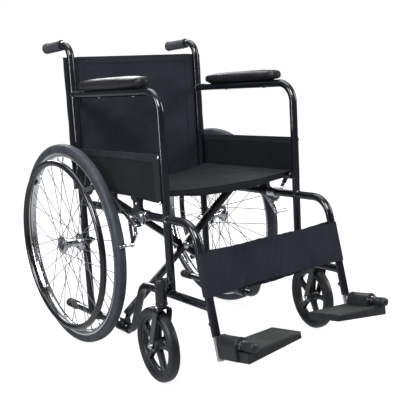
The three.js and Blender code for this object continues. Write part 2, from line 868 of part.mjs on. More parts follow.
// Pivot boss, then flat crank and bar in one plate, then a round grip.
function brakeLever(locked) {
  const angle = LEVER_LOCKED_ANGLE + (locked ? 0 : LEVER_TRAVEL);
  const crankEnd = polar(LEVER_PIVOT, LEVER_CRANK, angle - LEVER_LOCKED_ANGLE - 90);
  const barEnd = polar(LEVER_PIVOT, 86, angle);
  const gripStart = polar(LEVER_PIVOT, 62, angle);
  const gripEnd = polar(LEVER_PIVOT, LEVER_LENGTH, angle);
  const gripX = LEVER_LAYER + BRAKE_THICK / 2;
  const boss = (x) => new THREE.Vector3(x, LEVER_PIVOT.y, LEVER_PIVOT.z);
  return join(
    rod(boss(SHOE_LAYER), boss(LEVER_LAYER + 1), 3.2),
    sidePlate(linkShape(crankEnd, LEVER_PIVOT, 14), LEVER_LAYER, BRAKE_THICK),
    sidePlate(linkShape(LEVER_PIVOT, barEnd, 14), LEVER_LAYER, BRAKE_THICK),
    rod(
      new THREE.Vector3(gripX, gripStart.y, gripStart.z),
      new THREE.Vector3(gripX, gripEnd.y, gripEnd.z),
      7.5,
      10,
    ),
  );
}

// ---- Both sides. In a side's own group +X is outboard ----

for (const [side, direction] of [
  ["right", -1],
  ["left", 1],
]) {
  const frame = new THREE.Group();
  frame.scale.x = direction;
  chair.add(frame);

  add(frame, side + "_back_post", backPost(), PAINT);
  add(frame, side + "_arm_tube", armTube(), PAINT);
  add(frame, side + "_side_rail", sideRail(), PAINT);
  add(frame, side + "_footrest_hanger", footrestHanger(), PAINT);
  add(frame, side + "_lower_rail", lowerRail(), PAINT);
  add(frame, side + "_caster_housing", casterHousing(), PAINT);
  add(frame, side + "_seat_saddle", seatSaddle(), PLASTIC);
  add(frame, side + "_skirt_guard", skirtGuard(), FABRIC);
  const grip = add(frame, side + "_push_grip", pushGrip(), RUBBER);
  const gripStart = HANDLE_LENGTH - 97;
  grip.position.set(FRAME_X, AXLE_Y + gripStart, HANDLE_Z - HANDLE_DROP * gripStart);
  grip.rotation.x = -Math.atan(HANDLE_DROP);
  const cap = add(frame, side + "_tipping_lever_cap", tippingLeverCap(), RUBBER);
  cap.position.set(FRAME_X, AXLE_Y + 98, LOWER_Z);
  const pad = add(frame, side + "_armrest_pad", armrestPad(), PAD);
  pad.position.set(FRAME_X, AXLE_Y - 69, ARM_Z + TUBE_R + GAP);

  add(frame, side + "_rear_axle", rearAxle(), CHROME);
  const wheel = new THREE.Group();
  wheel.position.set(WHEEL_X, AXLE_Y, AXLE_Z);
  frame.add(wheel);
  add(wheel, side + "_tyre", tyre(), TYRE);
  add(wheel, side + "_wheel_rim", wheelRim(), CHROME);
  add(wheel, side + "_wheel_hub", wheelHub(), CHROME);
  add(wheel, side + "_hand_rim", handRim(), PAINT);

  const caster = new THREE.Group();
  caster.position.set(CASTER_STEM_X, CASTER_STEM_Y, 0);
  caster.rotation.z = direction * THREE.MathUtils.degToRad(CASTER_TURN[side]);
  frame.add(caster);
  add(caster, side + "_caster_fork", casterFork(), PAINT);
  const roller = new THREE.Group();
  roller.position.set(0, CASTER_TRAIL, CASTER_AXLE_Z);
  caster.add(roller);
  add(roller, side + "_caster_wheel", casterWheel(), PLASTIC);
  add(roller, side + "_caster_tyre", casterTyre(), TYRE);

  add(frame, side + "_footrest_tube", footrestTube(), CHROME);
  const footRod = footRodGroup(frame);
  add(footRod, side + "_footrest_knob", footrestKnob(), RUBBER);
  const turning = new THREE.Group();
  turning.rotation.y = THREE.MathUtils.degToRad(FOOTPLATE_REST_TILT[side]);
  footRod.add(turning);
  add(turning, side + "_footplate_bush", footplateBush(), CHROME);
  add(turning, side + "_footplate", footplate(), PLASTIC);

  const locked = BRAKE_LOCKED[side];
  add(frame, side + "_brake_clamp", brakeClamp(), CHROME);
  add(frame, side + "_brake_shoe", brakeShoe(locked), CHROME);
  add(frame, side + "_brake_link", brakeLink(locked), CHROME);
  add(frame, side + "_brake_lever", brakeLever(locked), CHROME);
}

// ---- Scissor brace. Each half is a square tube with a sleeve on the lower rail of one side and ----
// ---- the seat rail of the other. Drawn here with the sleeve on the -X side. ----

const SEAT_RAIL_FRONT = FRONT_POST_Y + 15;
const SEAT_RAIL_BACK = AXLE_Y - 22;

function scissorHalf(tubeY, sleeveY) {
  const tube = new THREE.BoxGeometry(SCISSOR_TUBE_LENGTH, SCISSOR_TUBE, SCISSOR_TUBE);
  tube.rotateY(-SCISSOR_ANGLE).translate(0, tubeY, SCISSOR_Z);
  const sleeveAt = (y) => new THREE.Vector3(-FRAME_X, y, LOWER_Z);
  const sleeve = rod(
    sleeveAt(sleeveY - SLEEVE_LENGTH / 2),
    sleeveAt(sleeveY + SLEEVE_LENGTH / 2),
    15.5,
    20,
  );
  const bore = rod(sleeveAt(sleeveY - 60), sleeveAt(sleeveY + 60), TUBE_R + 0.9, 20);
  const railAt = (y) => new THREE.Vector3(FRAME_X, y, SEAT_RAIL_Z);
  const seatRail = rod(railAt(SEAT_RAIL_FRONT), railAt(SEAT_RAIL_BACK), TUBE_R);
  const foot = box(28, SCISSOR_TUBE, 34, -FRAME_X + 4, tubeY, LOWER_Z + 17);
  const shoulder = box(16, SCISSOR_TUBE, 34, FRAME_X - 11, tubeY, SEAT_RAIL_Z - 23);
  const boltHole = rod(
    new THREE.Vector3(0, tubeY - 30, SCISSOR_Z),
    new THREE.Vector3(0, tubeY + 30, SCISSOR_Z),
    5.6,
  );
  return cut(join(tube, sleeve, foot, shoulder, seatRail), bore, boltHole);
}

const REAR_SCISSOR_Y = SCISSOR_Y + SCISSOR_PITCH;
const braceA = scissorHalf(SCISSOR_Y, SCISSOR_Y);
const braceB = scissorHalf(REAR_SCISSOR_Y, REAR_SCISSOR_Y);
add(chair, "cross_brace_a", braceA, PAINT);
const mirrored = new THREE.Group();
mirrored.scale.x = -1;
chair.add(mirrored);
add(mirrored, "cross_brace_b", braceB, PAINT);

function crossBolt() {
  const at = (y) => new THREE.Vector3(0, y, SCISSOR_Z);
  const front = SCISSOR_Y - SCISSOR_TUBE / 2 - GAP;
  const back = REAR_SCISSOR_Y + SCISSOR_TUBE / 2 + GAP;
  return join(
    rod(at(front - 1), at(back + 1), 5),
    rod(at(front - 6), at(front), 9, 6),
    rod(at(back), at(back + 7), 9, 6),
  );
}
add(chair, "cross_bolt", crossBolt(), CHROME);

// ---- Slings and strap ----

function seatSling() {
  const line = slingLine(-15, 90, FRAME_X - 8, WRAP_R, -18);
  return new THREE.ExtrudeGeometry(ribbon(line, CLOTH), {
    depth: SEAT_RAIL_BACK - SEAT_RAIL_FRONT - 4,
    bevelEnabled: false,
  })
    .rotateX(Math.PI / 2)
    .translate(0, SEAT_RAIL_BACK - 2, SEAT_RAIL_Z);
}
add(chair, "seat_sling", seatSling(), FABRIC);

function backSling() {
  const line = slingLine(-10, 165, FRAME_X - 26, 4, 14);
  return new THREE.ExtrudeGeometry(ribbon(line, CLOTH), {
    depth: BACK_TOP_Z - BACK_BOTTOM_Z,
    bevelEnabled: false,
  }).translate(0, AXLE_Y, BACK_BOTTOM_Z);
}
add(chair, "back_sling", backSling(), FABRIC);

function calfStrap() {
  const length = 111;
  const line = slingLine(90, -90, FRAME_X - 10, -WRAP_R, 16);
  const bottom = hangerAt(250);
  return new THREE.ExtrudeGeometry(ribbon(line, CLOTH), { depth: length, bevelEnabled: false })
    .rotateX(-HANGER_LEAN)
    .translate(0, bottom.y, bottom.z);
}
add(chair, "calf_strap", calfStrap(), FABRIC);

export default chair;
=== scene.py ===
"""Looks of a folding manual wheelchair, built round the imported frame.

Meshes are drawn in millimetres and scaled down as they become objects. In a side's own axes +X is
outboard; the left side is drawn, and the right side is its mirror image. -Y is the chair's front.
"""

import math

import bmesh
import bpy
from mathutils import Matrix, Vector, noise


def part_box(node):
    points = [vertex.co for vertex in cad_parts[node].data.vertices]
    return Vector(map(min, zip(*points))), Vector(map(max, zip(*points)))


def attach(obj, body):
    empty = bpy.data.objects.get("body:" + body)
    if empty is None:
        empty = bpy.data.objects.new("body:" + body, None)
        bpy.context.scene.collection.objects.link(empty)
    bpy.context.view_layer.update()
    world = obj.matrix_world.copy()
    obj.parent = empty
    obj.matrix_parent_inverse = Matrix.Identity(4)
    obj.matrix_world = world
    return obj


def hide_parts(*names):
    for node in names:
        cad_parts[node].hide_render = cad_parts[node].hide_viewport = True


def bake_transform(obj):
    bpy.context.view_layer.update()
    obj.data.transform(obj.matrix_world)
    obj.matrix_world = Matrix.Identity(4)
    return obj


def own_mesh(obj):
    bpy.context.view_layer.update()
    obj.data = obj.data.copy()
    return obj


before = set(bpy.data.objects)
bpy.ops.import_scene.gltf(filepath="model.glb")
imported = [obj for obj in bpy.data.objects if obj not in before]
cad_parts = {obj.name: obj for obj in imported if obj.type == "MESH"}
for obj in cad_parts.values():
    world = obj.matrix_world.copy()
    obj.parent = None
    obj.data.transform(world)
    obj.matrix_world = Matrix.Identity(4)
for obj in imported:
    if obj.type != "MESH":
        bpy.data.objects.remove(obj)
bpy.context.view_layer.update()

MM = 0.001


def low(node, axis):
    """The lowest coordinate of a CAD node, in millimetres."""
    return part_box(node)[0][axis] / MM


def high(node, axis):
    """The highest coordinate of a CAD node, in millimetres."""
    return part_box(node)[1][axis] / MM


def middle(node, axis):
    """The middle of a CAD node, in millimetres."""
    return (low(node, axis) + high(node, axis)) / 2


# Places, from the frame.
FRAME_X = middle("left_back_post", 0)
WHEEL_X = middle("left_tyre", 0)
AXLE_Y = middle("left_tyre", 1)
AXLE_Z = middle("left_tyre", 2)
TUBE_R = 11
TUBE_FLAT = middle("left_arm_tube", 0) - low("left_arm_tube", 0)
FRONT_POST_Y = low("left_arm_tube", 1) + TUBE_FLAT
ARM_Z = high("left_arm_tube", 2) - TUBE_FLAT
SIDE_RAIL_Z = middle("left_side_rail", 2)
LOWER_Z = middle("left_tipping_lever_cap", 2)
BRACE_Z = low("left_arm_tube", 2) - 3.4
SEAT_RAIL_Z = high("cross_brace_a", 2) - TUBE_R
HANDLE_Z = high("left_push_grip", 2) - 13.2
HANDLE_LENGTH = 148
HANDLE_DROP = 0.027
TYRE_R = 305
SIDE_BODY = {"right": "frame_right", "left": "frame_left"}
MIRROR = {"right": Matrix.Diagonal((-1, 1, 1, 1)), "left": Matrix.Identity(4)}

CASTER_STEM = Vector((284, AXLE_Y - 480, 0))
HANGER_LEAN = math.radians(13)
HANGER_CORNER_Y = AXLE_Y - 571
HANGER_END_Z = 157
FOOT_ROD_Z = 144
FOOT_ROD_RISE = math.radians(8)


# ---- Materials ----


class Shader:
    """A material's node tree, with short calls for the nodes that the materials here share."""

    def __init__(self, name, colour, roughness, metallic=0.0, **sockets):
        self.material = bpy.data.materials.new(name)
        self.material.use_nodes = True
        self.nodes = self.material.node_tree.nodes
        self.links = self.material.node_tree.links
        self.shader = self.nodes["Principled BSDF"]
        self.set("Base Color", (*colour, 1))
        self.set("Roughness", roughness)
        self.set("Metallic", metallic)
        for socket, value in sockets.items():
            self.set(socket.replace("_", " "), value)
        self.place = self.nodes.new("ShaderNodeTexCoord").outputs["Object"]
        self.normal = None

    def set(self, socket, value):
        self.shader.inputs[socket].default_value = value

    def noise(self, scale, detail=4.0, rough=0.55, place=None):
        node = self.nodes.new("ShaderNodeTexNoise")
        node.inputs["Scale"].default_value = scale
        node.inputs["Detail"].default_value = detail
        node.inputs["Roughness"].default_value = rough
        self.links.new(place or self.place, node.inputs["Vector"])
        return node.outputs["Fac"]

    def cells(self, scale, place=None):
        node = self.nodes.new("ShaderNodeTexVoronoi")
        node.feature = "DISTANCE_TO_EDGE"
        node.inputs["Scale"].default_value = scale
        self.links.new(place or self.place, node.inputs["Vector"])
        return node.outputs["Distance"]

    def wave(self, scale, direction, place=None, distortion=0.0):
        node = self.nodes.new("ShaderNodeTexWave")
        node.bands_direction = direction
        node.inputs["Scale"].default_value = scale
        node.inputs["Distortion"].default_value = distortion
        self.links.new(place or self.place, node.inputs["Vector"])
        return node.outputs["Fac"]

    def maths(self, operation, one, two):
        node = self.nodes.new("ShaderNodeMath")
        node.operation = operation
        for socket, value in zip(node.inputs, (one, two)):
            if isinstance(value, (int, float)):
                socket.default_value = value
            else:
                self.links.new(value, socket)
        return node.outputs["Value"]

    def ramp(self, factor, stops):
        """Colours or greys along a factor: stops lists (position, colour or grey)."""
        node = self.nodes.new("ShaderNodeValToRGB")
        elements = node.color_ramp.elements
        while len(elements) < len(stops):
            elements.new(0.5)
        for element, (position, value) in zip(elements, stops):
            element.position = position
            colour = value if hasattr(value, "__len__") else (value,) * 3
            element.color = (*colour, 1)
        self.links.new(factor, node.inputs["Fac"])
        return node.outputs["Color"]

    def drive(self, socket, output):
        self.links.new(output, self.shader.inputs[socket])

    def bump(self, height, distance, strength=1.0):
        """Adds one layer of bump, its depth in millimetres."""
        node = self.nodes.new("ShaderNodeBump")
        node.inputs["Distance"].default_value = distance * MM
        node.inputs["Strength"].default_value = strength
        self.links.new(height, node.inputs["Height"])
        if self.normal is not None:
            self.links.new(self.normal, node.inputs["Normal"])
        self.normal = node.outputs["Normal"]
        self.links.new(self.normal, self.shader.inputs["Normal"])


def gloss_paint():
    """Black powder coat: faint orange peel, and dust that dulls it in patches."""
    m = Shader("gloss_black_paint", (0.006, 0.007, 0.010), 0.16, Coat_Weight=0.35, Coat_Roughness=0.05)
    m.drive("Roughness", m.ramp(m.noise(22, 5), [(0.3, 0.11), (0.75, 0.26)]))
    tints = [(0.35, (0.005, 0.006, 0.009)), (0.8, (0.011, 0.012, 0.017))]
    m.drive("Base Color", m.ramp(m.noise(9, 3), tints))
    m.bump(m.noise(260, 1), 0.012, 0.4)
    return m.material


def chrome(name, roughness, colour=(0.72, 0.73, 0.76)):
    """Bright plating, with fine scratches and a slight clouding."""
    m = Shader(name, colour, roughness, 1.0)
    m.drive("Roughness", m.ramp(m.noise(60, 6), [(0.3, roughness * 0.7), (0.75, roughness * 2.0)]))
    tones = [(0.3, tuple(c * 0.86 for c in colour)), (0.7, colour)]
    m.drive("Base Color", m.ramp(m.noise(14, 4), tones))
    m.bump(m.noise(240, 2), 0.012, 0.3)
    return m.material


def woven(name, colour, light, per_metre=760):
    """Nylon cloth: crossing threads, with soft uneven fading, and a painted highlight that makes the colour
    lighter where the weave stands up.
    """
    m = Shader(name, colour, 0.78, Sheen_Weight=0.03, Sheen_Roughness=0.5, Specular_IOR_Level=0.12)
    threads = m.maths("MULTIPLY", m.wave(per_metre / 6.28, "X"), m.wave(per_metre / 6.28, "Z"))
    across = m.maths("MULTIPLY", m.wave(per_metre / 6.28, "Y"), m.wave(per_metre / 6.28, "Z"))
    weave = m.maths("ADD", threads, across)
    # Colour: random fading noise plus the weave pattern, which paints a highlight on the raised threads.
    fade_and_thread_highlight = m.maths("ADD", m.noise(6, 5), m.maths("MULTIPLY", weave, 0.12))
    m.drive("Base Color", m.ramp(fade_and_thread_highlight, [(0.3, colour), (0.8, light)]))
    m.drive("Roughness", m.ramp(m.noise(18, 4), [(0.3, 0.66), (0.7, 0.86)]))
    m.bump(m.noise(34, 5), 0.9, 0.35)
    m.bump(weave, 0.25, 0.5)
    return m.material


def pad_skin():
    """Glossy moulded polyurethane skin with a fine leather grain."""
    m = Shader("armrest_skin", (0.008, 0.008, 0.010), 0.42, Specular_IOR_Level=0.32)
    m.drive("Roughness", m.ramp(m.noise(30, 4), [(0.3, 0.36), (0.75, 0.48)]))
    tints = [(0.3, (0.006, 0.006, 0.008)), (0.8, (0.016, 0.016, 0.019))]
    m.drive("Base Color", m.ramp(m.noise(11, 3), tints))
    m.bump(m.cells(520), 0.02, 0.25)
    m.bump(m.noise(26, 2), 0.15, 0.2)
    return m.material


def rubber(name, colour, light, roughness=0.62):
    """Moulded rubber with dust in its pores."""
    m = Shader(name, colour, roughness, Specular_IOR_Level=0.4)
    m.drive("Base Color", m.ramp(m.noise(26, 6, 0.6), [(0.32, colour), (0.78, light)]))
    m.drive("Roughness", m.ramp(m.noise(70, 4), [(0.3, roughness - 0.12), (0.7, roughness + 0.14)]))
    m.bump(m.noise(900, 3), 0.08, 0.5)
    return m.material


def plastic(name, colour, light, roughness=0.38, grain=0.1):
    """Moulded plastic with a spark-eroded texture and rubbed high spots."""
    m = Shader(name, colour, roughness)
    m.drive("Base Color", m.ramp(m.noise(17, 5), [(0.3, colour), (0.8, light)]))
    m.drive("Roughness", m.ramp(m.noise(48, 4), [(0.3, roughness - 0.1), (0.7, roughness + 0.14)]))
    m.bump(m.cells(900), grain, 0.4)
    return m.material


PAINT = gloss_paint()
CHROME = chrome("bright_chrome", 0.1)
RIM_CHROME = chrome("rim_chrome", 0.13, (0.78, 0.79, 0.82))
SPOKE_STEEL = plastic("spoke_steel", (0.100, 0.105, 0.118), (0.155, 0.160, 0.175), 0.4, 0.02)
ZINC = chrome("zinc_plate", 0.24, (0.55, 0.56, 0.58))
BACK_CLOTH = woven("back_cloth", (0.012, 0.014, 0.019), (0.023, 0.026, 0.035))
# The seat's nylon is drawn darker than the back sling's: painted shade for the seat's top, worn by the seat
# panel and its hem.
SEAT_CLOTH_PAINTED_SHADE = woven("seat_cloth", (0.007, 0.008, 0.011), (0.014, 0.016, 0.021))
GUARD_CLOTH = woven("guard_cloth", (0.004, 0.0045, 0.006), (0.009, 0.010, 0.013))
STRAP_CLOTH = woven("strap_cloth", (0.010, 0.011, 0.018), (0.021, 0.023, 0.033), 620)
TAPE = woven("binding_tape", (0.008, 0.009, 0.012), (0.018, 0.020, 0.025), 1100)
THREAD = woven("thread", (0.014, 0.015, 0.018), (0.030, 0.032, 0.036), 2200)
PAD_SKIN = pad_skin()
TYRE_RUBBER = rubber("tyre_rubber", (0.022, 0.026, 0.036), (0.050, 0.056, 0.070))
CASTER_RUBBER = rubber("caster_rubber", (0.006, 0.007, 0.010), (0.017, 0.019, 0.025), 0.4)
GRIP_RUBBER = rubber("grip_rubber", (0.022, 0.026, 0.032), (0.048, 0.054, 0.062))
CAP_RUBBER = rubber("cap_rubber", (0.010, 0.010, 0.012), (0.026, 0.027, 0.030))
BLACK_PLASTIC = plastic("black_plastic", (0.007, 0.008, 0.010), (0.018, 0.019, 0.022))
HUB_PLASTIC = plastic("hub_cap_plastic", (0.018, 0.022, 0.032), (0.040, 0.046, 0.060), 0.3)
TREAD_PLASTIC = plastic("footplate_tread", (0.016, 0.019, 0.019), (0.040, 0.046, 0.044), 0.6, 0.25)


# ---- Meshes ----


def finish(bm, name, material, body, side=None, replaces=(), slot=None, sharp=38, bevel=0.0, ride=True):
    """Turns a mesh in millimetres into an object that rides on a body."""
    matrix = Matrix.Scale(MM, 4)
    if side:
        matrix = matrix @ MIRROR[side]
    bm.transform(matrix)
    bmesh.ops.remove_doubles(bm, verts=bm.verts, dist=2e-6)
    bmesh.ops.recalc_face_normals(bm, faces=bm.faces)
    mesh = bpy.data.meshes.new(name)
    bm.to_mesh(mesh)
    bm.free()
    mesh.materials.append(material)
    mesh.shade_smooth()
    mesh.set_sharp_from_angle(angle=math.radians(sharp))
    obj = bpy.data.objects.new(name, mesh)
    bpy.context.scene.collection.objects.link(obj)
    if bevel:
        edges = obj.modifiers.new("edges", "BEVEL")
        edges.width = bevel * MM
        edges.segments = 2
        edges.limit_method = "ANGLE"
        edges.angle_limit = math.radians(sharp)
        edges.harden_normals = True
    if ride:
        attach(obj, body)
    if replaces:
        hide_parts(*replaces)
    return obj


def skin(bm, one, two):
    """Faces between two rings, either of which may be a single vertex."""
    count = max(len(one), len(two))
    for i in range(count):
        j = (i + 1) % count
        corners = [one[i % len(one)], one[j % len(one)], two[j % len(two)], two[i % len(two)]]
        unique = list(dict.fromkeys(corners))
        if len(unique) > 2:
            bm.faces.new(unique)


def circle_points(centre, radius, across, along, sides, phase=0.0):
    points = []
    for i in range(sides):
        angle = 2 * math.pi * (i + phase) / sides
        points.append(centre + radius * (math.cos(angle) * across + math.sin(angle) * along))
    return points


def bent_path(corners, bend, step=5):
    """The centre line of a bent tube, as (point, tangent) pairs."""
    corners = [Vector(c) for c in corners]
    path = [(corners[0], (corners[1] - corners[0]).normalized())]
    for before, corner, after in zip(corners, corners[1:], corners[2:]):
        into = (corner - before).normalized()
        out = (after - corner).normalized()
        turn = into.angle(out)
        axis = into.cross(out).normalized()
        start = corner - into * bend * math.tan(turn / 2)
        count = max(2, math.ceil(math.degrees(turn) / step))
        for k in range(count + 1):
            angle = turn * k / count
            reach = into * math.sin(angle) + axis.cross(into) * (1 - math.cos(angle))
            path.append((start + bend * reach, Matrix.Rotation(angle, 3, axis) @ into))
    path.append((corners[-1], (corners[-1] - corners[-2]).normalized()))
    return path


def sweep(bm, path, radius, sides=32, side_axis=(1, 0, 0)):
    """A round bar with flat ends along a path that lies square to side_axis."""
    across = Vector(side_axis)
    rings = []
    for point, tangent in path:
        other = tangent.cross(across).normalized()
        rings.append([bm.verts.new(p) for p in circle_points(point, radius, across, other, sides)])
    for one, two in zip(rings, rings[1:]):
        skin(bm, one, two)
    bm.faces.new(rings[0])
    bm.faces.new(rings[-1])


def towards(origin, direction, up=(0, 0, 1)):
    """The matrix that puts local X along direction and local Z near up, at origin."""
    x = Vector(direction).normalized()
    if abs(x.dot(Vector(up))) > 0.99:
        up = (0, 1, 0)
    y = Vector(up).cross(x).normalized()
    z = x.cross(y)
    return Matrix.Translation(Vector(origin)) @ Matrix((x, y, z)).transposed().to_4x4()


def lathe(bm, profile, matrix, segments=48, closed=False, phase=0.0):
    """A body of revolution about local X. The profile lists (x, radius)."""
    rings = []
    for x, radius in profile:
        if radius == 0:
            ring = [bm.verts.new(matrix @ Vector((x, 0, 0)))]
        else:
            centre = Vector((x, 0, 0))
            points = circle_points(centre, radius, Vector((0, 1, 0)), Vector((0, 0, 1)), segments, phase)
            ring = [bm.verts.new(matrix @ p) for p in points]
        rings.append(ring)
    if closed:
        rings.append(rings[0])
    for one, two in zip(rings, rings[1:]):
        skin(bm, one, two)


def rounded_profile(length, radius, edge, steps=4):
    """A closed rod's profile with rounded ends, from x = 0 to length."""
    profile = [(0, 0)]
    for k in range(steps + 1):
        angle = math.pi / 2 * k / steps
        profile.append((edge * (1 - math.sin(angle)), radius - edge * (1 - math.cos(angle))))
    start = [(0, 0)] + sorted(profile[1:], key=lambda p: p[0])
    return start + [(length - x, r) for x, r in reversed(start)]


def bolt(bm, at, direction, radius=5.0, height=4.0, washer=1.6):
    """A hexagon head on a washer, standing out along direction."""
    matrix = towards(at, direction)
    edge = radius * washer
    lathe(bm, [(0, 0), (0, edge), (1.0, edge), (1.2, radius * 1.1), (1.2, 0)], matrix, 28)
    head = [(1.2, 0), (1.2, radius), (height, radius), (height + 0.9, radius * 0.82), (height + 0.9, 0)]
    lathe(bm, head, matrix, 6)


def dome(bm, at, direction, radius, height, steps=6, segments=28):
    """A round button head."""
    profile = [(0, 0)]
    for k in range(steps + 1):
        angle = math.pi / 2 * k / steps
        profile.append((height * math.sin(angle), radius * math.cos(angle)))
    profile[-1] = (height, 0)
    lathe(bm, profile, towards(at, direction), segments)


def torus(bm, at, axis, radius, thickness, segments=48, sides=12, rough=0.0):
    """A ring of round section; rough makes a weld bead of it."""
    matrix = towards(at, axis)
    rings = []
    for i in range(segments):
        angle = 2 * math.pi * i / segments
        out = Vector((0, math.cos(angle), math.sin(angle)))
        size = thickness * (1 + rough * math.sin(i * 2.1))
        points = circle_points(out * radius, size, out, Vector((1, 0, 0)), sides)
        rings.append([bm.verts.new(matrix @ p) for p in points])
    for i, ring in enumerate(rings):
        skin(bm, ring, rings[(i + 1) % segments])


def weld(bm, at, branch, along, radius=TUBE_R, main=TUBE_R, thickness=1.5, count=44):
    """The bead where a tube along branch meets a tube along `along`, whose axis passes through at."""
    at = Vector(at)
    branch = Vector(branch).normalized()
    along = Vector(along).normalized()
    across = branch.cross(along).normalized()
    rings = []
    centres = []
    for i in range(count):
        angle = 2 * math.pi * i / count
        offset = radius * 0.995 * math.cos(angle)
        lift = math.sqrt(max(main**2 - offset**2, 0))
        slant = radius * math.sin(angle)
        centres.append(at + across * offset + along * slant + branch * lift)
    for i, centre in enumerate(centres):
        tangent = (centres[(i + 1) % count] - centres[i - 1]).normalized()
        out = (centre - at - branch * 4).normalized()
        other = tangent.cross(out).normalized()
        size = thickness * (1 + 0.22 * math.sin(i * 2.3))
        rings.append([bm.verts.new(p) for p in circle_points(centre, size, other.cross(tangent), other, 8)])
    for i, ring in enumerate(rings):
        skin(bm, ring, rings[(i + 1) % count])


def rounded_outline(points, radii, steps=6):
    """A 2-D outline with its corners rounded. radii is one number or one for each corner."""
    count = len(points)
    if not hasattr(radii, "__len__"):
        radii = [radii] * count
    outline = []
    for i in range(count):
        corner = Vector(points[i])
        before = (Vector(points[i - 1]) - corner).normalized()
        after = (Vector(points[(i + 1) % count]) - corner).normalized()
        half = before.angle(after) / 2
        if radii[i] == 0 or half > 1.55:
            outline.append(corner)
            continue
        reach = radii[i] / math.tan(half)
        centre = corner + (before + after).normalized() * radii[i] / math.sin(half)
        start = corner + before * reach - centre
        end = corner + after * reach - centre
        for k in range(steps + 1):
            outline.append(centre + start.slerp(end, k / steps))
    return outline


def plate(bm, outline, thickness, matrix):
    """A flat plate: the outline is in local X and Y, and the plate rises along local Z."""
    rings = []
    for z in (0, thickness):
        rings.append([bm.verts.new(matrix @ Vector((p[0], p[1], z))) for p in outline])
    skin(bm, rings[0], rings[1])
    bm.faces.new(rings[0])
    bm.faces.new(rings[1])


# The matrix that takes a plate drawn in the side view, (y, z), to thickness along +X.
SIDE_VIEW = Matrix(((0, 0, 1, 0), (1, 0, 0, 0), (0, 1, 0, 0), (0, 0, 0, 1)))


def side_plate(bm, outline, x, thickness):
    plate(bm, outline, thickness, Matrix.Translation((x, 0, 0)) @ SIDE_VIEW)


def stitches(bm, points, lift, length=3.0, pitch=4.4, radius=0.42):
    """A row of thread stitches along a line of points, standing out along lift."""
    lift = Vector(lift).normalized()
    travelled = 0.0
    next_at = pitch / 2
    for one, two in zip(points, points[1:]):
        one, two = Vector(one), Vector(two)
        span = (two - one).length
        while next_at < travelled + span:
            centre = one.lerp(two, (next_at - travelled) / span)
            along = (two - one).normalized()
            across = along.cross(lift).normalized()
            rings = []
            for reach, size in ((-0.5, 0.45), (-0.22, 1.0), (0.22, 1.0), (0.5, 0.45)):
                at = centre + along * length * reach + lift * radius * 0.5
                rings.append([bm.verts.new(p) for p in circle_points(at, radius * size, across, lift, 6)])
            for ring, following in zip(rings, rings[1:]):
                skin(bm, ring, following)
            bm.faces.new(rings[0])
            bm.faces.new(rings[-1])
            next_at += pitch
        travelled += span


# ---- Side frames ----


def in_frame(y, z):
    return Vector((FRAME_X, y, z))


def hanger_at(z):
    """The footrest hanger's centre line at a height."""
    return in_frame(HANGER_CORNER_Y - (SIDE_RAIL_Z - z) * math.tan(HANGER_LEAN), z)


def back_post(side, body):
    bm = bmesh.new()
    corners = [
        in_frame(AXLE_Y, LOWER_Z + 4),
        in_frame(AXLE_Y, HANDLE_Z),
        in_frame(AXLE_Y + HANDLE_LENGTH, HANDLE_Z - HANDLE_DROP * HANDLE_LENGTH),
    ]
    sweep(bm, bent_path(corners, 42), TUBE_R)
    weld(bm, in_frame(AXLE_Y, LOWER_Z), (0, 0, 1), (0, 1, 0))
    weld(bm, in_frame(AXLE_Y, SIDE_RAIL_Z), (0, -1, 0), (0, 0, 1))
    weld(bm, in_frame(AXLE_Y, ARM_Z), (0, -1, 0), (0, 0, 1))
    # Axle sleeve welded through the post.
    span = 2 * TUBE_R + 4
    sleeve = [(0, 0), (0, 9.5), (0.8, 10.3), (span - 0.8, 10.3), (span, 9.5), (span, 0)]
    lathe(bm, sleeve, towards((FRAME_X - TUBE_R - 2, AXLE_Y, AXLE_Z), (1, 0, 0)))
    finish(bm, side + "_back_post_tube", PAINT, body, side, [side + "_back_post"], "frame_paint")


def arm_tube(side, body):
    bm = bmesh.new()
    corners = [in_frame(AXLE_Y - 6, ARM_Z), in_frame(FRONT_POST_Y, ARM_Z)]
    corners.append(in_frame(FRONT_POST_Y, BRACE_Z + 4))
    sweep(bm, bent_path(corners, 55), TUBE_R)
    weld(bm, in_frame(FRONT_POST_Y, BRACE_Z), (0, 0, 1), (0, 1, 0))
    weld(bm, in_frame(FRONT_POST_Y, SIDE_RAIL_Z), (0, 1, 0), (0, 0, 1))
    weld(bm, in_frame(FRONT_POST_Y, SIDE_RAIL_Z), (0, -1, 0), (0, 0, 1))
    finish(bm, side + "_arm_tube_bent", PAINT, body, side, [side + "_arm_tube"], "frame_paint")


def side_rail(side, body):
    bm = bmesh.new()
    ends = [in_frame(AXLE_Y - 4, SIDE_RAIL_Z), in_frame(FRONT_POST_Y + 4, SIDE_RAIL_Z)]
    sweep(bm, bent_path(ends, 1), TUBE_R)
    finish(bm, side + "_side_rail_tube", PAINT, body, side, [side + "_side_rail"], "frame_paint")


def footrest_hanger(side, body):
    bm = bmesh.new()
    end = hanger_at(HANGER_END_Z)
    corners = [in_frame(FRONT_POST_Y - 4, SIDE_RAIL_Z), in_frame(HANGER_CORNER_Y, SIDE_RAIL_Z), end]
    sweep(bm, bent_path(corners, 60), TUBE_R)
    down = (hanger_at(100) - hanger_at(200)).normalized()
    # Rolled lip at the open end, and the pinch bolt's boss behind it.
    torus(bm, end, down, TUBE_R - 0.9, 1.1)
    boss = hanger_at(HANGER_END_Z + 22)
    lathe(bm, rounded_profile(9, 6.5, 1.2), towards(boss + Vector((0, 7, 1.5)), (0, 1, 0.23)), 28)
    finish(bm, side + "_hanger_tube", PAINT, body, side, [side + "_footrest_hanger"], "frame_paint")
    bm = bmesh.new()
    bolt(bm, boss + Vector((0, 16, 3.6)), (0, 1, 0.23), 4.2, 3.4, 1.25)
    finish(bm, side + "_hanger_pinch_bolt", ZINC, body, side, slot="hardware_chrome")


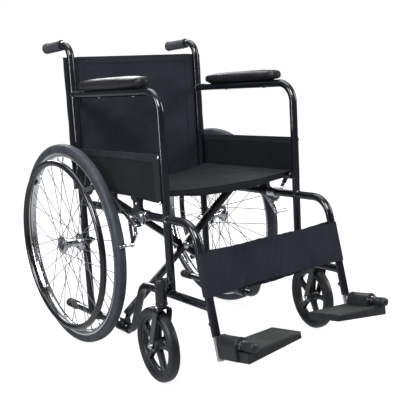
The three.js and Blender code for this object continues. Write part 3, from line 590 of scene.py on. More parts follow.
def lower_rail(side, body):
    bm = bmesh.new()
    corners = [
        in_frame(AXLE_Y + 146, LOWER_Z),
        in_frame(AXLE_Y - 246, LOWER_Z),
        in_frame(AXLE_Y - 314, BRACE_Z),
        hanger_at(BRACE_Z) + Vector((0, 5, 0)),
    ]
    sweep(bm, bent_path(corners, 42), TUBE_R)
    weld(bm, hanger_at(BRACE_Z), (0, 1, 0), (0, -math.tan(HANGER_LEAN), -1))
    finish(bm, side + "_lower_rail_tube", PAINT, body, side, [side + "_lower_rail"], "frame_paint")


def caster_housing(side, body):
    x = middle("left_caster_fork", 0)
    stem = CASTER_STEM
    bottom = low("left_caster_housing", 2)
    top = high("left_caster_housing", 2)
    bm = bmesh.new()
    profile = [(0, 8.2), (0, 15), (1, 16), (6, 16), (7, 15), (top - bottom - 8, 15), (top - bottom - 7, 16)]
    profile += [(top - bottom - 1, 16), (top - bottom, 15), (top - bottom, 8.2)]
    lathe(bm, profile, towards((stem.x, stem.y, bottom), (0, 0, 1)), 48, closed=True)
    corners = [
        (FRAME_X + 4, FRONT_POST_Y + 17),
        (FRAME_X + 4, FRONT_POST_Y - 17),
        (stem.x - 6, stem.y - 14.5),
        (stem.x + 6, stem.y + 14.5),
    ]
    for z in (BRACE_Z + 14, top - 13):
        plate(bm, rounded_outline(corners, [2, 2, 0, 0]), 5, Matrix.Translation((0, 0, z)))
    inner, outer = FRAME_X + 8, stem.x - 12
    web = [(inner, BRACE_Z + 17), (outer, BRACE_Z + 17), (outer, top - 10), (inner, top - 10)]
    lean = math.atan2(stem.y - FRONT_POST_Y, stem.x - FRAME_X)
    turn = Matrix.Translation((FRAME_X, FRONT_POST_Y, 0)) @ Matrix.Rotation(lean, 4, "Z")
    upright = Matrix(((1, 0, 0, -FRAME_X), (0, 0, 1, -2.5), (0, 1, 0, 0), (0, 0, 0, 1)))
    plate(bm, web, 5, turn @ upright)
    weld(bm, in_frame(FRONT_POST_Y, BRACE_Z + 28), (1, 0, 0), (0, 0, 1), 12, 11, 1.3)
    covers = [side + "_caster_housing"]
    finish(bm, side + "_caster_barrel", PAINT, body, side, covers, "frame_paint", bevel=0.5)
    bm = bmesh.new()
    cap = [(0, 0), (0, 15.4), (2.5, 15.4), (5.5, 13.6), (7.2, 9), (7.8, 4), (8, 0)]
    lathe(bm, cap, towards((stem.x, stem.y, top - 0.4), (0, 0, 1)), 40)
    finish(bm, side + "_caster_dust_cap", BLACK_PLASTIC, body, side, slot="black_plastic")


def push_grip(side, body):
    """A rubber grip with finger ribs below, a flange at the front and a closed round end."""
    length = high("left_push_grip", 1) - low("left_push_grip", 1)
    bm = bmesh.new()
    steps = 96
    rings = []
    start = Vector((FRAME_X, AXLE_Y + HANDLE_LENGTH - 97, HANDLE_Z - HANDLE_DROP * (HANDLE_LENGTH - 97)))
    matrix = towards(start, (0, 1, -HANDLE_DROP))
    sides = 40
    for i in range(steps + 1):
        x = length * i / steps
        if x < 5:
            base = 15.8
        elif x > length - 9:
            base = 16.4 * math.sqrt(max(1 - ((x - length + 9) / 9) ** 4, 0.02))
        else:
            base = 14.4
        ring = []
        for k in range(sides):
            angle = 2 * math.pi * k / sides
            below = max(0.0, -math.sin(angle))
            radius = base
            if 8 < x < length - 12:
                radius += 1.8 * below * (0.5 - 0.5 * math.cos(2 * math.pi * (x - 8) / 21))
                radius += 0.35 * math.sin(x * 2.4)
            spot = Vector((x, radius * math.cos(angle), radius * math.sin(angle)))
            ring.append(bm.verts.new(matrix @ spot))
        rings.append(ring)
    for one, two in zip(rings, rings[1:]):
        skin(bm, one, two)
    bm.faces.new(rings[0])
    bm.faces.new(rings[-1])
    finish(bm, side + "_grip_sleeve", GRIP_RUBBER, body, side, [side + "_push_grip"], "grip_rubber", sharp=60)


def tipping_cap(side, body):
    start = low("left_tipping_lever_cap", 1)
    length = high("left_tipping_lever_cap", 1) - start
    bm = bmesh.new()
    profile = [(0, 11.2), (0, 13.2), (1, 14)]
    for k in range(6):
        x = 4 + k * 7
        profile += [(x, 14), (x + 1, 13.2), (x + 3, 13.2), (x + 4, 14)]
    profile += [(length - 6, 14), (length - 2, 12.4), (length, 9), (length, 0)]
    lathe(bm, profile, towards((FRAME_X, start, LOWER_Z), (0, 1, 0)), 40)
    name = side + "_tipping_cap_rubber"
    finish(bm, name, CAP_RUBBER, body, side, [side + "_tipping_lever_cap"], "grip_rubber")


def seat_saddle(side, body):
    """A moulded cradle: a ring on the side rail, a waist, and a hollow for the seat rail."""
    y = middle("left_seat_saddle", 1)
    length = high("left_seat_saddle", 1) - low("left_seat_saddle", 1)
    outline = []
    for k in range(15):
        angle = math.radians(160 + 220 * k / 14)
        outline.append((14 * math.cos(angle), SIDE_RAIL_Z + 14 * math.sin(angle)))
    outline += [(7, SIDE_RAIL_Z + 18), (7, SEAT_RAIL_Z - 22)]
    outline += [(13, SEAT_RAIL_Z - 14), (13.4, SEAT_RAIL_Z - 7.5)]
    for k in range(13):
        angle = math.radians(-35 - 110 * k / 12)
        outline.append((13.2 * math.cos(angle), SEAT_RAIL_Z + 13.2 * math.sin(angle)))
    outline += [(-13.4, SEAT_RAIL_Z - 7.5), (-13, SEAT_RAIL_Z - 14), (-7, SEAT_RAIL_Z - 22)]
    outline.append((-7, SIDE_RAIL_Z + 18))
    bm = bmesh.new()
    to_front_view = Matrix(((1, 0, 0, FRAME_X), (0, 0, 1, y - length / 2), (0, 1, 0, 0), (0, 0, 0, 1)))
    plate(bm, outline, length, to_front_view)
    name = side + "_saddle_moulding"
    finish(bm, name, BLACK_PLASTIC, body, side, [side + "_seat_saddle"], "black_plastic", bevel=0.7)
    bm = bmesh.new()
    bolt(bm, (FRAME_X + 6.5, y, (SIDE_RAIL_Z + SEAT_RAIL_Z) / 2), (1, 0, 0), 3.6, 3)
    finish(bm, side + "_saddle_screw", ZINC, body, side, slot="hardware_chrome")


def frame_screws(side, body):
    """Screws for the back sling, the arm pad and the skirt guard."""
    bm = bmesh.new()
    dome(bm, (FRAME_X - 6, AXLE_Y - TUBE_R + 0.6, BACK_LOW + 6), (-0.3, -1, 0), 4.4, 2.2)
    pad_front = low("left_armrest_pad", 1)
    pad_back = high("left_armrest_pad", 1)
    for share in (0.2, 0.74):
        y = pad_front + (pad_back - pad_front) * share
        dome(bm, (FRAME_X, y, ARM_Z - TUBE_R + 0.3), (0, 0, -1), 4.4, 2.6)
    for y, z in ((AXLE_Y - 452, 585), (AXLE_Y - 448, 468)):
        dome(bm, (FRAME_X + TUBE_R + 4.2, y, z), (1, -0.1, 0), 4.6, 2.4)
    finish(bm, side + "_upholstery_screws", CHROME, body, side, slot="hardware_chrome")


# ---- Rear wheels ----

HUB_FLANGE = 29.3


def tyre_profile(half, inner, outer, shoulder, steps=10):
    """A tyre's section: rounded tread, side walls and a flat base. Listed as (x, radius)."""
    profile = [(-half * 0.78, inner), (-half * 0.96, inner + 4)]
    for k in range(steps + 1):
        angle = math.pi * k / steps
        x = -half * math.copysign(abs(math.cos(angle)) ** 0.62, math.cos(angle))
        radius = outer - shoulder + shoulder * math.sin(angle) ** 0.8
        profile.append((x, radius))
    profile += [(half * 0.96, inner + 4), (half * 0.78, inner)]
    return profile


def rear_wheel(side):
    body = side + "_rear_wheel"
    place = towards((WHEEL_X, AXLE_Y, AXLE_Z), (1, 0, 0))
    half = (high("left_tyre", 0) - low("left_tyre", 0)) / 2
    bm = bmesh.new()
    lathe(bm, tyre_profile(half, 279, TYRE_R - 0.9, 12, 14), place, 180, closed=True)
    # Two shallow rubbed lines on each wall.
    for x, radius in ((-half * 0.985, 288), (half * 0.985, 288), (-half * 0.93, 295), (half * 0.93, 295)):
        torus(bm, (WHEEL_X + x, AXLE_Y, AXLE_Z), (1, 0, 0), radius, 0.55, 180, 6)
    finish(bm, side + "_tyre_body", TYRE_RUBBER, body, side, [side + "_tyre"], "tyre", sharp=50)

    bm = bmesh.new()
    rim = [(-12.6, 281), (-13, 279.5), (-12.6, 272.5), (-10, 269.5), (-5, 266.5), (0, 265.4)]
    rim += [(-x, r) for x, r in reversed(rim[:-1])]
    rim += [(9, 281), (6, 277), (-6, 277), (-9, 281)]
    lathe(bm, rim, place, 180, closed=True)
    finish(bm, side + "_rim_channel", RIM_CHROME, body, side, [side + "_wheel_rim"], "rim_chrome", sharp=45)

    spokes = bmesh.new()
    nipples = bmesh.new()
    per_flange = 18
    for flange in (-1, 1):
        for i in range(per_flange):
            angle = 2 * math.pi * (i + (0.5 if flange > 0 else 0)) / per_flange
            lean = 1 if i % 2 else -1
            hub_angle = angle + lean * 1.15
            x = HUB_FLANGE * flange + lean * 1.6
            start = place @ Vector((x, 24.5 * math.cos(hub_angle), 24.5 * math.sin(hub_angle)))
            end = place @ Vector((2.0 * flange, 266.5 * math.cos(angle), 266.5 * math.sin(angle)))
            along = (end - start).normalized()
            sweep(spokes, [(start, along), (end, along)], 1.15, 8, along.orthogonal().normalized())
            dome(spokes, start - along * 0.4, (lean, 0, 0), 2.1, 1.1, 3, 10)
            lathe(nipples, rounded_profile(15, 1.9, 0.5, 2), towards(end - along * 14, along), 10)
    finish(spokes, side + "_spokes", SPOKE_STEEL, body, side, slot="rim_chrome", sharp=50)
    finish(nipples, side + "_spoke_nipples", CHROME, body, side, slot="rim_chrome", sharp=50)

    bm = bmesh.new()
    hub = [(-33, 8), (-33, 17), (-31.4, 18), (-30.9, 27), (-30.2, 28), (-28.4, 28), (-27.7, 27), (-27, 17.5)]
    hub += [(-22, 13.2), (-14, 11.4), (14, 11.4), (22, 13.2), (27, 17.5), (27.7, 27), (28.4, 28), (30.2, 28)]
    hub += [(30.9, 27), (31.4, 19), (32.6, 18), (32.6, 8)]
    lathe(bm, hub, place, 64, closed=True)
    finish(bm, side + "_hub_barrel", CHROME, body, side, [side + "_wheel_hub"], "rim_chrome", sharp=35)
    bm = bmesh.new()
    cap = [(31, 0), (31, 15.4), (33.2, 15.4), (34.6, 13.8), (34.9, 8), (34.4, 6.6), (34.4, 0)]
    lathe(bm, cap, place, 56)
    finish(bm, side + "_hub_cap", HUB_PLASTIC, body, side, slot="rim_chrome", sharp=35)

    bm = bmesh.new()
    torus(bm, place @ Vector((33, 0, 0)), (1, 0, 0), 251, 9.3, 180, 24)
    finish(bm, side + "_hand_rim_ring", PAINT, body, side, [side + "_hand_rim"], "frame_paint")
    tabs = bmesh.new()
    screws = bmesh.new()
    for i in range(4):
        turn = Matrix.Rotation(2 * math.pi * (i + 0.5) / 4, 4, "X")
        outline = [(12.4, 247), (29, 243.5), (34, 248), (34, 258), (30, 264), (21, 266.5), (12.4, 268.5)]
        flat = Matrix(((1, 0, 0, 0), (0, 0, 1, -7.5), (0, 1, 0, 0), (0, 0, 0, 1)))
        plate(tabs, rounded_outline(outline, 1.2, 3), 15, place @ turn @ flat)
        head = place @ turn @ Vector((21, 0, 246.2))
        inward = (turn @ Vector((0, 0, -1))).normalized()
        dome(screws, head, (0, inward.y, inward.z), 3.6, 2.0, 4, 20)
    finish(tabs, side + "_hand_rim_tabs", BLACK_PLASTIC, body, side, slot="frame_paint", bevel=0.8)
    finish(screws, side + "_hand_rim_screws", PAINT, body, side, slot="rim_chrome")


def rear_axle(side, body):
    """Axle bolt with its lock nut inboard, and the spacer between post and hub."""
    bm = bmesh.new()
    at = Vector((FRAME_X - TUBE_R - 2.2, AXLE_Y, AXLE_Z))
    bolt(bm, at, (-1, 0, 0), 9.6, 9, 1.25)
    lathe(bm, rounded_profile(7, 5.8, 1), towards(at + Vector((-9, 0, 0)), (-1, 0, 0)), 28)
    spacer = [(0, 0), (0, 10.6), (5.4, 10.6), (5.4, 0)]
    lathe(bm, spacer, towards((FRAME_X + TUBE_R + 2.2, AXLE_Y, AXLE_Z), (1, 0, 0)), 32)
    finish(bm, side + "_axle_nut", CHROME, body, side, [side + "_rear_axle"], "hardware_chrome")


# ---- Casters ----


CASTER_TURN = {"right": -6, "left": -12}
CASTER_R = 100
CASTER_TRAIL = 36
CASTER_AXLE_Z = middle("left_caster_tyre", 2)
FORK_TOP = 209


def caster_matrix(side, at_wheel=False):
    """Local axes of a caster, turned as it stands. Built for the left and mirrored with the side."""
    sign = -1 if side == "right" else 1
    turn = Matrix.Rotation(sign * math.radians(CASTER_TURN[side]), 4, "Z")
    matrix = Matrix.Translation(CASTER_STEM) @ turn
    if at_wheel:
        matrix = matrix @ Matrix.Translation((0, CASTER_TRAIL, CASTER_AXLE_Z))
    return matrix


def caster_fork(side):
    body = side + "_caster_swivel_fork"
    matrix = caster_matrix(side)
    thick = 4
    bm = bmesh.new()
    # A strap of steel bent into a U: legs taper towards the axle and trail behind the stem.
    stations = []
    reach = 21
    bend = 9
    for k in range(9):
        angle = math.pi / 2 * k / 8
        x = reach - bend + bend * math.sin(angle)
        stations.append((x, FORK_TOP - thick / 2 - bend * (1 - math.cos(angle))))
    line = [(-x, z) for x, z in reversed(stations)] + stations
    left_leg = [(reach, FORK_TOP - 30), (reach, 150), (reach, CASTER_AXLE_Z)]
    line = [(-x, z) for x, z in reversed(left_leg)] + line + left_leg
    rings = []
    for i, (x, z) in enumerate(line):
        before = Vector(line[max(i - 1, 0)])
        after = Vector(line[min(i + 1, len(line) - 1)])
        along = (after - before).normalized()
        out = Vector((-along.y, along.x)) * thick / 2
        drop = max(0.0, min(1.0, (FORK_TOP - 20 - z) / (FORK_TOP - 20 - CASTER_AXLE_Z)))
        centre_y = CASTER_TRAIL * drop
        half = 12.5 - 2.0 * drop
        ring = [
            (x + out.x, centre_y - half, z + out.y),
            (x + out.x, centre_y + half, z + out.y),
            (x - out.x, centre_y + half, z - out.y),
            (x - out.x, centre_y - half, z - out.y),
        ]
        rings.append([bm.verts.new(matrix @ Vector(p)) for p in ring])
    for one, two in zip(rings, rings[1:]):
        skin(bm, one, two)
    bm.faces.new(rings[0])
    bm.faces.new(rings[-1])
    for sign in (-1, 1):
        at = matrix @ towards((sign * (reach - thick / 2), CASTER_TRAIL, CASTER_AXLE_Z), (sign, 0, 0))
        lathe(bm, [(0, 0), (0, 11), (thick, 11), (thick, 0)], at, 40)
    lathe(bm, [(0, 0), (0, 12.6), (4.4, 12.6), (4.4, 0)], matrix @ towards((0, 0, FORK_TOP), (0, 0, 1)), 40)
    finish(bm, side + "_fork_strap", PAINT, body, side, [side + "_caster_fork"], "frame_paint", bevel=0.8)
    bm = bmesh.new()
    for sign in (-1, 1):
        at = matrix @ Vector((sign * (reach + thick / 2), CASTER_TRAIL, CASTER_AXLE_Z))
        outward = matrix.to_3x3() @ Vector((sign, 0, 0))
        bolt(bm, at, outward, 6.2, 4.2, 1.35)
    axle = matrix @ towards((-reach, CASTER_TRAIL, CASTER_AXLE_Z), (1, 0, 0))
    lathe(bm, rounded_profile(2 * reach, 4.6, 0.5), axle, 24)
    finish(bm, side + "_caster_axle_bolt", CHROME, body, side, slot="hardware_chrome")


def caster_wheel(side):
    body = side + "_caster_roller"
    matrix = caster_matrix(side, at_wheel=True)
    place = matrix @ towards((0, 0, 0), (1, 0, 0))
    bm = bmesh.new()
    lathe(bm, tyre_profile(14, 76.5, CASTER_R - 0.5, 11, 14), place, 128, closed=True)
    for x in (-13.7, 13.7):
        torus(bm, place @ Vector((x, 0, 0)), place.to_3x3() @ Vector((1, 0, 0)), 86, 0.5, 128, 6)
    finish(bm, side + "_caster_tread", CASTER_RUBBER, body, side, [side + "_caster_tyre"], "tyre", sharp=50)

    bm = bmesh.new()
    ring = [(-9, 76.8), (-9.4, 75.4), (-8.8, 70.6), (-7, 69), (7, 69), (8.8, 70.6), (9.4, 75.4), (9, 76.8)]
    lathe(bm, ring, place, 96, closed=True)
    hub = [
        (-17.6, 7), (-17.6, 14), (-16.4, 16.4), (-10, 18.5),
        (10, 18.5), (16.4, 16.4), (17.6, 14), (17.6, 7),
    ]
    lathe(bm, hub, place, 48, closed=True)
    # Five spokes: a rounded bar on each face, joined by a thinner web.
    stations = [(15, 8.6, 3.4), (24, 6.8, 3.6), (38, 5.6, 3.4), (52, 5.8, 3.2), (62, 7, 3.0), (70, 9.6, 2.8)]
    for i in range(5):
        turn = Matrix.Rotation(2 * math.pi * (i + 0.15) / 5, 4, "X")
        for face in (-1, 1):
            rings = []
            for r, half, depth in stations:
                centre = Vector((face * 5.4, 0, r))
                points = []
                for k in range(16):
                    angle = 2 * math.pi * k / 16
                    across = math.copysign(abs(math.cos(angle)) ** 0.6, math.cos(angle)) * half
                    out = math.copysign(abs(math.sin(angle)) ** 0.7, math.sin(angle)) * depth
                    points.append(centre + Vector((out, across, 0)))
                rings.append([bm.verts.new(matrix @ turn @ p) for p in points])
            for one, two in zip(rings, rings[1:]):
                skin(bm, one, two)
            bm.faces.new(rings[0])
            bm.faces.new(rings[-1])
        web = [(-2.2, 16), (2.2, 16), (1.8, 69.6), (-1.8, 69.6)]
        flat = Matrix(((0, 0, 1, -4.5), (1, 0, 0, 0), (0, 1, 0, 0), (0, 0, 0, 1)))
        plate(bm, web, 9, matrix @ turn @ flat)
    name = side + "_caster_spider"
    finish(bm, name, BLACK_PLASTIC, body, side, [side + "_caster_wheel"], "black_plastic", sharp=42)
    bm = bmesh.new()
    for x in (-1, 1):
        shield = [(17.0, 0), (17.0, 12.6), (17.9, 12.6), (18.1, 6), (18.1, 0)]
        lathe(bm, shield, matrix @ towards((0, 0, 0), (x, 0, 0)), 32)
    finish(bm, side + "_bearing_shields", ZINC, body, side, slot="hardware_chrome")


# ---- Footrests ----


PLATE_TILT = {"right": 2.5, "left": 5}


def foot_matrix(tilt=0.0):
    """Local axes of the footplate's rod: -Y runs forward along it, and tilt lifts the inner edge."""
    rise = Matrix.Rotation(-FOOT_ROD_RISE, 4, "X")
    return Matrix.Translation(hanger_at(FOOT_ROD_Z)) @ rise @ Matrix.Rotation(math.radians(tilt), 4, "Y")


def footrest(side):
    body = side + "_footrest"
    matrix = foot_matrix()
    bm = bmesh.new()
    bottom = hanger_at(97)
    top = hanger_at(HANGER_END_Z + 30)
    up = (top - bottom).normalized()
    lathe(bm, rounded_profile((top - bottom).length, 9.1, 1.4), towards(bottom, up), 40)
    rod_end = matrix @ Vector((0, -117, 0))
    start = matrix @ Vector((0, 0, 0))
    lathe(bm, rounded_profile((rod_end - start).length, 6.9, 1), towards(start, rod_end - start), 32)
    # Welded collar round the tube at the rod, and the washer under the knob.
    torus(bm, matrix @ Vector((0, -10.4, 0)), rod_end - start, 7.6, 1.4, 40, 10, 0.1)
    washer = [(0, 0), (0, 14.5), (1.8, 14.5), (1.8, 0)]
    lathe(bm, washer, matrix @ towards((0, -100.4, 0), (0, 1, 0)), 40)
    name = side + "_footrest_chrome"
    finish(bm, name, CHROME, body, side, [side + "_footrest_tube"], "hardware_chrome")

    bm = bmesh.new()
    rings = []
    sides = 96
    for x, base, depth in (
        (0, 9, 0), (1, 10.4, 0), (5, 10.4, 0), (6, 11.6, 1.0),
        (30, 11.9, 1.0), (33, 11.6, 0.8), (36, 11.2, 0),
        (38.5, 10.4, 0), (40.4, 8, 0), (41, 5, 0),
    ):
        ring = []
        for k in range(sides):
            angle = 2 * math.pi * k / sides
            radius = base - depth * (0.5 + 0.5 * math.cos(angle * 24))
            at = Vector((radius * math.cos(angle), -100.4 - x, radius * math.sin(angle)))
            ring.append(bm.verts.new(matrix @ at))
        rings.append(ring)
    for one, two in zip(rings, rings[1:]):
        skin(bm, one, two)
    bm.faces.new(rings[0])
    bm.faces.new(rings[-1])
    name = side + "_knob_moulding"
    finish(bm, name, BLACK_PLASTIC, body, side, [side + "_footrest_knob"], "grip_rubber", sharp=30)


def footplate_bush(side):
    bm = bmesh.new()
    bush = [(0, 7.4), (0, 12), (0.8, 12.8), (5.2, 12.8), (6, 12), (6, 7.4)]
    lathe(bm, bush, foot_matrix() @ towards((0, -99, 0), (0, 1, 0)), 48, closed=True)
    body = side + "_footplate_bearing"
    finish(bm, side + "_bush_ring", CHROME, body, side, [side + "_footplate_bush"], "hardware_chrome")


PLATE_TOP = -14
PLATE_BOTTOM = -36
PLATE_TAPER = 8
PLATE_INNER = -177
PLATE_OUTER = 20
PLATE_BACK = -4
PLATE_FRONT = -133
SLEEVE_START = -21
SLEEVE_END = -92


def plate_outline(inset, radius):
    """The footplate's outline from above, moved in by inset."""
    corners = [
        (-16 - inset, PLATE_BACK - inset),
        (PLATE_INNER + inset, PLATE_BACK - inset),
        (PLATE_INNER + inset, PLATE_FRONT + inset),
        (PLATE_OUTER - inset, PLATE_FRONT + inset),
        (PLATE_OUTER - inset, SLEEVE_START - inset),
        (-16 - inset, SLEEVE_START - inset),
    ]
    return rounded_outline(corners, [3, radius, radius, min(radius, 8), 3, 2])


def footplate(side):
    body = side + "_footplate_body"
    matrix = foot_matrix(PLATE_TILT[side])
    bm = bmesh.new()
    plate(bm, plate_outline(0, 14), PLATE_TOP - PLATE_BOTTOM, Matrix.Translation((0, 0, PLATE_BOTTOM)))
    # The plate thins towards its inner edge.
    for v in bm.verts:
        if v.co.z < PLATE_TOP - 1:
            v.co.z += PLATE_TAPER * (PLATE_OUTER - v.co.x) / (PLATE_OUTER - PLATE_INNER)
    bm.transform(matrix)
    # The raised border.
    outer = plate_outline(1.5, 13)
    inner = plate_outline(7, 9)
    rings = []
    foot, lip = PLATE_TOP - 1, PLATE_TOP + 2.6
    for outline, z in ((outer, foot), (outer, lip), (inner, lip), (inner, foot)):
        rings.append([bm.verts.new(matrix @ Vector((p[0], p[1], z))) for p in outline])
    for i, ring in enumerate(rings):
        skin(bm, ring, rings[(i + 1) % 4])
    # Half-round sleeve round the rod, with its outer wall down to the plate's underside.
    section = []
    for k in range(25):
        angle = math.pi * k / 24
        section.append((20 * math.cos(angle), 20 * math.sin(angle)))
    section += [(-20, PLATE_TOP), (-20, PLATE_BOTTOM + 2), (20, PLATE_BOTTOM + 2)]
    upright = Matrix(((1, 0, 0, 0), (0, 0, 1, SLEEVE_END), (0, 1, 0, 0), (0, 0, 0, 1)))
    plate(bm, section, SLEEVE_START - SLEEVE_END, matrix @ upright)
    for y in (SLEEVE_END + 1.5, SLEEVE_START - 5.5):
        band = [(20.9 * math.cos(math.pi * k / 24), 20.9 * math.sin(math.pi * k / 24)) for k in range(25)]
        band += [(-20.9, PLATE_TOP + 2), (-18, PLATE_TOP + 2), (18, PLATE_TOP - 14), (20.9, PLATE_TOP - 14)]
        upright = Matrix(((1, 0, 0, 0), (0, 0, 1, y), (0, 1, 0, 0), (0, 0, 0, 1)))
        plate(bm, band, 4, matrix @ upright)
    name = side + "_footplate_moulding"
    finish(bm, name, BLACK_PLASTIC, body, side, [side + "_footplate"], "black_plastic", bevel=1.1)

    # The ribbed tread: fine ribs across the plate, all inside the border.
    bm = bmesh.new()
    tread = plate_outline(8, 4)
    left = max(p[0] for p in tread if p[1] < SLEEVE_END)
    y = PLATE_BACK - 11
    while y > PLATE_FRONT + 11:
        span = tread_span(tread, y)
        if SLEEVE_END - 3 < y:
            span = (span[0], min(span[1], -22.5))
        span = (span[0], min(span[1], left))
        rib = [(0, 0), (0.4, 1.0), (1.5, 1.0), (1.9, 0)]
        flat = Matrix(((0, 0, 1, span[0]), (1, 0, 0, y), (0, 1, 0, PLATE_TOP + 0.3), (0, 0, 0, 1)))
        plate(bm, rib, span[1] - span[0], matrix @ flat)
        y -= 3.1
    name = side + "_footplate_tread"
    finish(bm, name, TREAD_PLASTIC, body, side, slot="black_plastic", sharp=30)


def tread_span(outline, y):
    """Where a line at y enters and leaves an outline."""
    crossings = []
    for i, p in enumerate(outline):
        q = outline[(i + 1) % len(outline)]
        if (p[1] - y) * (q[1] - y) <= 0 and p[1] != q[1]:
            crossings.append(p[0] + (q[0] - p[0]) * (y - p[1]) / (q[1] - p[1]))
    return min(crossings), max(crossings)


# ---- Scissor brace ----

SCISSOR_Y = AXLE_Y - 195
SCISSOR_PITCH = 24
SCISSOR_ANGLE = math.radians(37.2)
SCISSOR_LENGTH = 557
SCISSOR_TUBE = 22
SCISSOR_Z = (LOWER_Z + SEAT_RAIL_Z) / 2


def scissor_half(name, node, body, y, mirrored):
    """Square tube, sleeve on the lower rail and seat rail. Drawn with its sleeve on the -X side."""
    bm = bmesh.new()
    half = SCISSOR_TUBE / 2
    corner = 2.6
    square = rounded_outline([(-half, -half), (half, -half), (half, half), (-half, half)], corner, 4)
    slope = Matrix.Translation((0, y, SCISSOR_Z)) @ Matrix.Rotation(-SCISSOR_ANGLE, 4, "Y")
    lying = Matrix(((0, 0, 1, -SCISSOR_LENGTH / 2), (1, 0, 0, 0), (0, 1, 0, 0), (0, 0, 0, 1)))
    plate(bm, square, SCISSOR_LENGTH, slope @ lying)
    sleeve = [(-28, 11.6), (-28, 14.8), (-27.2, 15.6), (27.2, 15.6), (28, 14.8), (28, 11.6)]
    lathe(bm, sleeve, towards((-FRAME_X, y, LOWER_Z), (0, 1, 0)), 48, closed=True)
    front = low("cross_brace_a", 1)
    back = high("cross_brace_a", 1)
    rail = rounded_profile(back - front, TUBE_R, 2)
    lathe(bm, rail, towards((FRAME_X, front, SEAT_RAIL_Z), (0, 1, 0)), 40)
    foot = rounded_outline([(-14, 0), (14, 0), (13, 34), (-14, 30)], 3, 4)
    upright = Matrix(((1, 0, 0, -FRAME_X + 4), (0, 0, 1, y - half), (0, 1, 0, LOWER_Z), (0, 0, 0, 1)))
    plate(bm, foot, SCISSOR_TUBE, upright)
    shoulder = rounded_outline([(-19, -40), (-3, -40), (-3, -6), (-19, -6)], 2, 4)
    upright = Matrix(((1, 0, 0, FRAME_X), (0, 0, 1, y - half), (0, 1, 0, SEAT_RAIL_Z), (0, 0, 0, 1)))
    plate(bm, shoulder, SCISSOR_TUBE, upright)
    weld(bm, (-FRAME_X, y, LOWER_Z), (0.25, 0, 1), (0, 1, 0), 12, 15.2, 1.6)
    weld(bm, (FRAME_X, y, SEAT_RAIL_Z), (-0.5, 0, -1), (0, 1, 0), 9.5, 11, 1.5)
    if mirrored:
        bm.transform(MIRROR["right"])
    finish(bm, name, PAINT, body, None, [node], "frame_paint", sharp=30)
    bm = bmesh.new()
    inner = half - 2
    plug = rounded_outline([(-inner, -inner), (inner, -inner), (inner, inner), (-inner, inner)], 2, 4)
    for end in (-SCISSOR_LENGTH / 2 - 1.2, SCISSOR_LENGTH / 2 - 0.3):
        lying = Matrix(((0, 0, 1, end), (1, 0, 0, 0), (0, 1, 0, 0), (0, 0, 0, 1)))
        plate(bm, plug, 1.5, slope @ lying)
    for at in (front - 0.5, back + 0.5):
        forward = -1 if at < 0 else 1
        dome(bm, (FRAME_X, at - forward * 1.2, SEAT_RAIL_Z), (0, forward, 0), 10.4, 3.2, 5, 36)
    if mirrored:
        bm.transform(MIRROR["right"])
    finish(bm, name + "_end_plugs", BLACK_PLASTIC, body, slot="black_plastic", bevel=0.4)


def cross_bolt():
    bm = bmesh.new()
    front = low("cross_bolt", 1)
    back = high("cross_bolt", 1)
    lathe(bm, rounded_profile(back - front - 6, 4.8, 0.6), towards((0, front + 3, SCISSOR_Z), (0, 1, 0)), 24)
    bolt(bm, (0, SCISSOR_Y - 11.2, SCISSOR_Z), (0, -1, 0), 7.5, 5.4, 1.5)
    bolt(bm, (0, SCISSOR_Y + SCISSOR_PITCH + 11.2, SCISSOR_Z), (0, 1, 0), 7.5, 6, 1.5)
    finish(bm, "cross_bolt_head", CHROME, "brace_a", replaces=["cross_bolt"], slot="hardware_chrome")


# ---- Brakes ----

SHOE_PIVOT = Vector((AXLE_Y - 300, 402))
SHOE_ARM_LENGTH = 62
SHOE_LOCKED_ANGLE = -98.4
SHOE_TRAVEL = 35
LEVER_PIVOT = Vector((AXLE_Y - 338, 396))
LEVER_CRANK = 19.4
LEVER_LENGTH = 177
LEVER_LOCKED_ANGLE = 32
LEVER_TRAVEL = 91.5
LINK_LENGTH = 46.2
LINK_LOCKED_ANGLE = 128.9
LINK_TRAVEL = 70.1
BRAKE_THICK = 3.2
PLATE_LAYER = 246.6
SHOE_LAYER = PLATE_LAYER + BRAKE_THICK + 0.3
LINK_LAYER = SHOE_LAYER + BRAKE_THICK + 0.3
LEVER_LAYER = LINK_LAYER + BRAKE_THICK + 0.3
BRAKE_LOCKED = {"right": True, "left": False}


def polar(origin, length, degrees):
    angle = math.radians(degrees)
    return origin + Vector((length * math.cos(angle), length * math.sin(angle)))


def link_outline(a, b, width, far_width=None, steps=14):
    """A flat link with round ends, in the side view."""
    along = math.atan2(b.y - a.y, b.x - a.x)
    outline = []
    for centre, size, start in ((a, width, math.pi / 2), (b, far_width or width, -math.pi / 2)):
        for k in range(steps + 1):
            angle = along + start + math.pi * k / steps
            outline.append(centre + size / 2 * Vector((math.cos(angle), math.sin(angle))))
    return outline


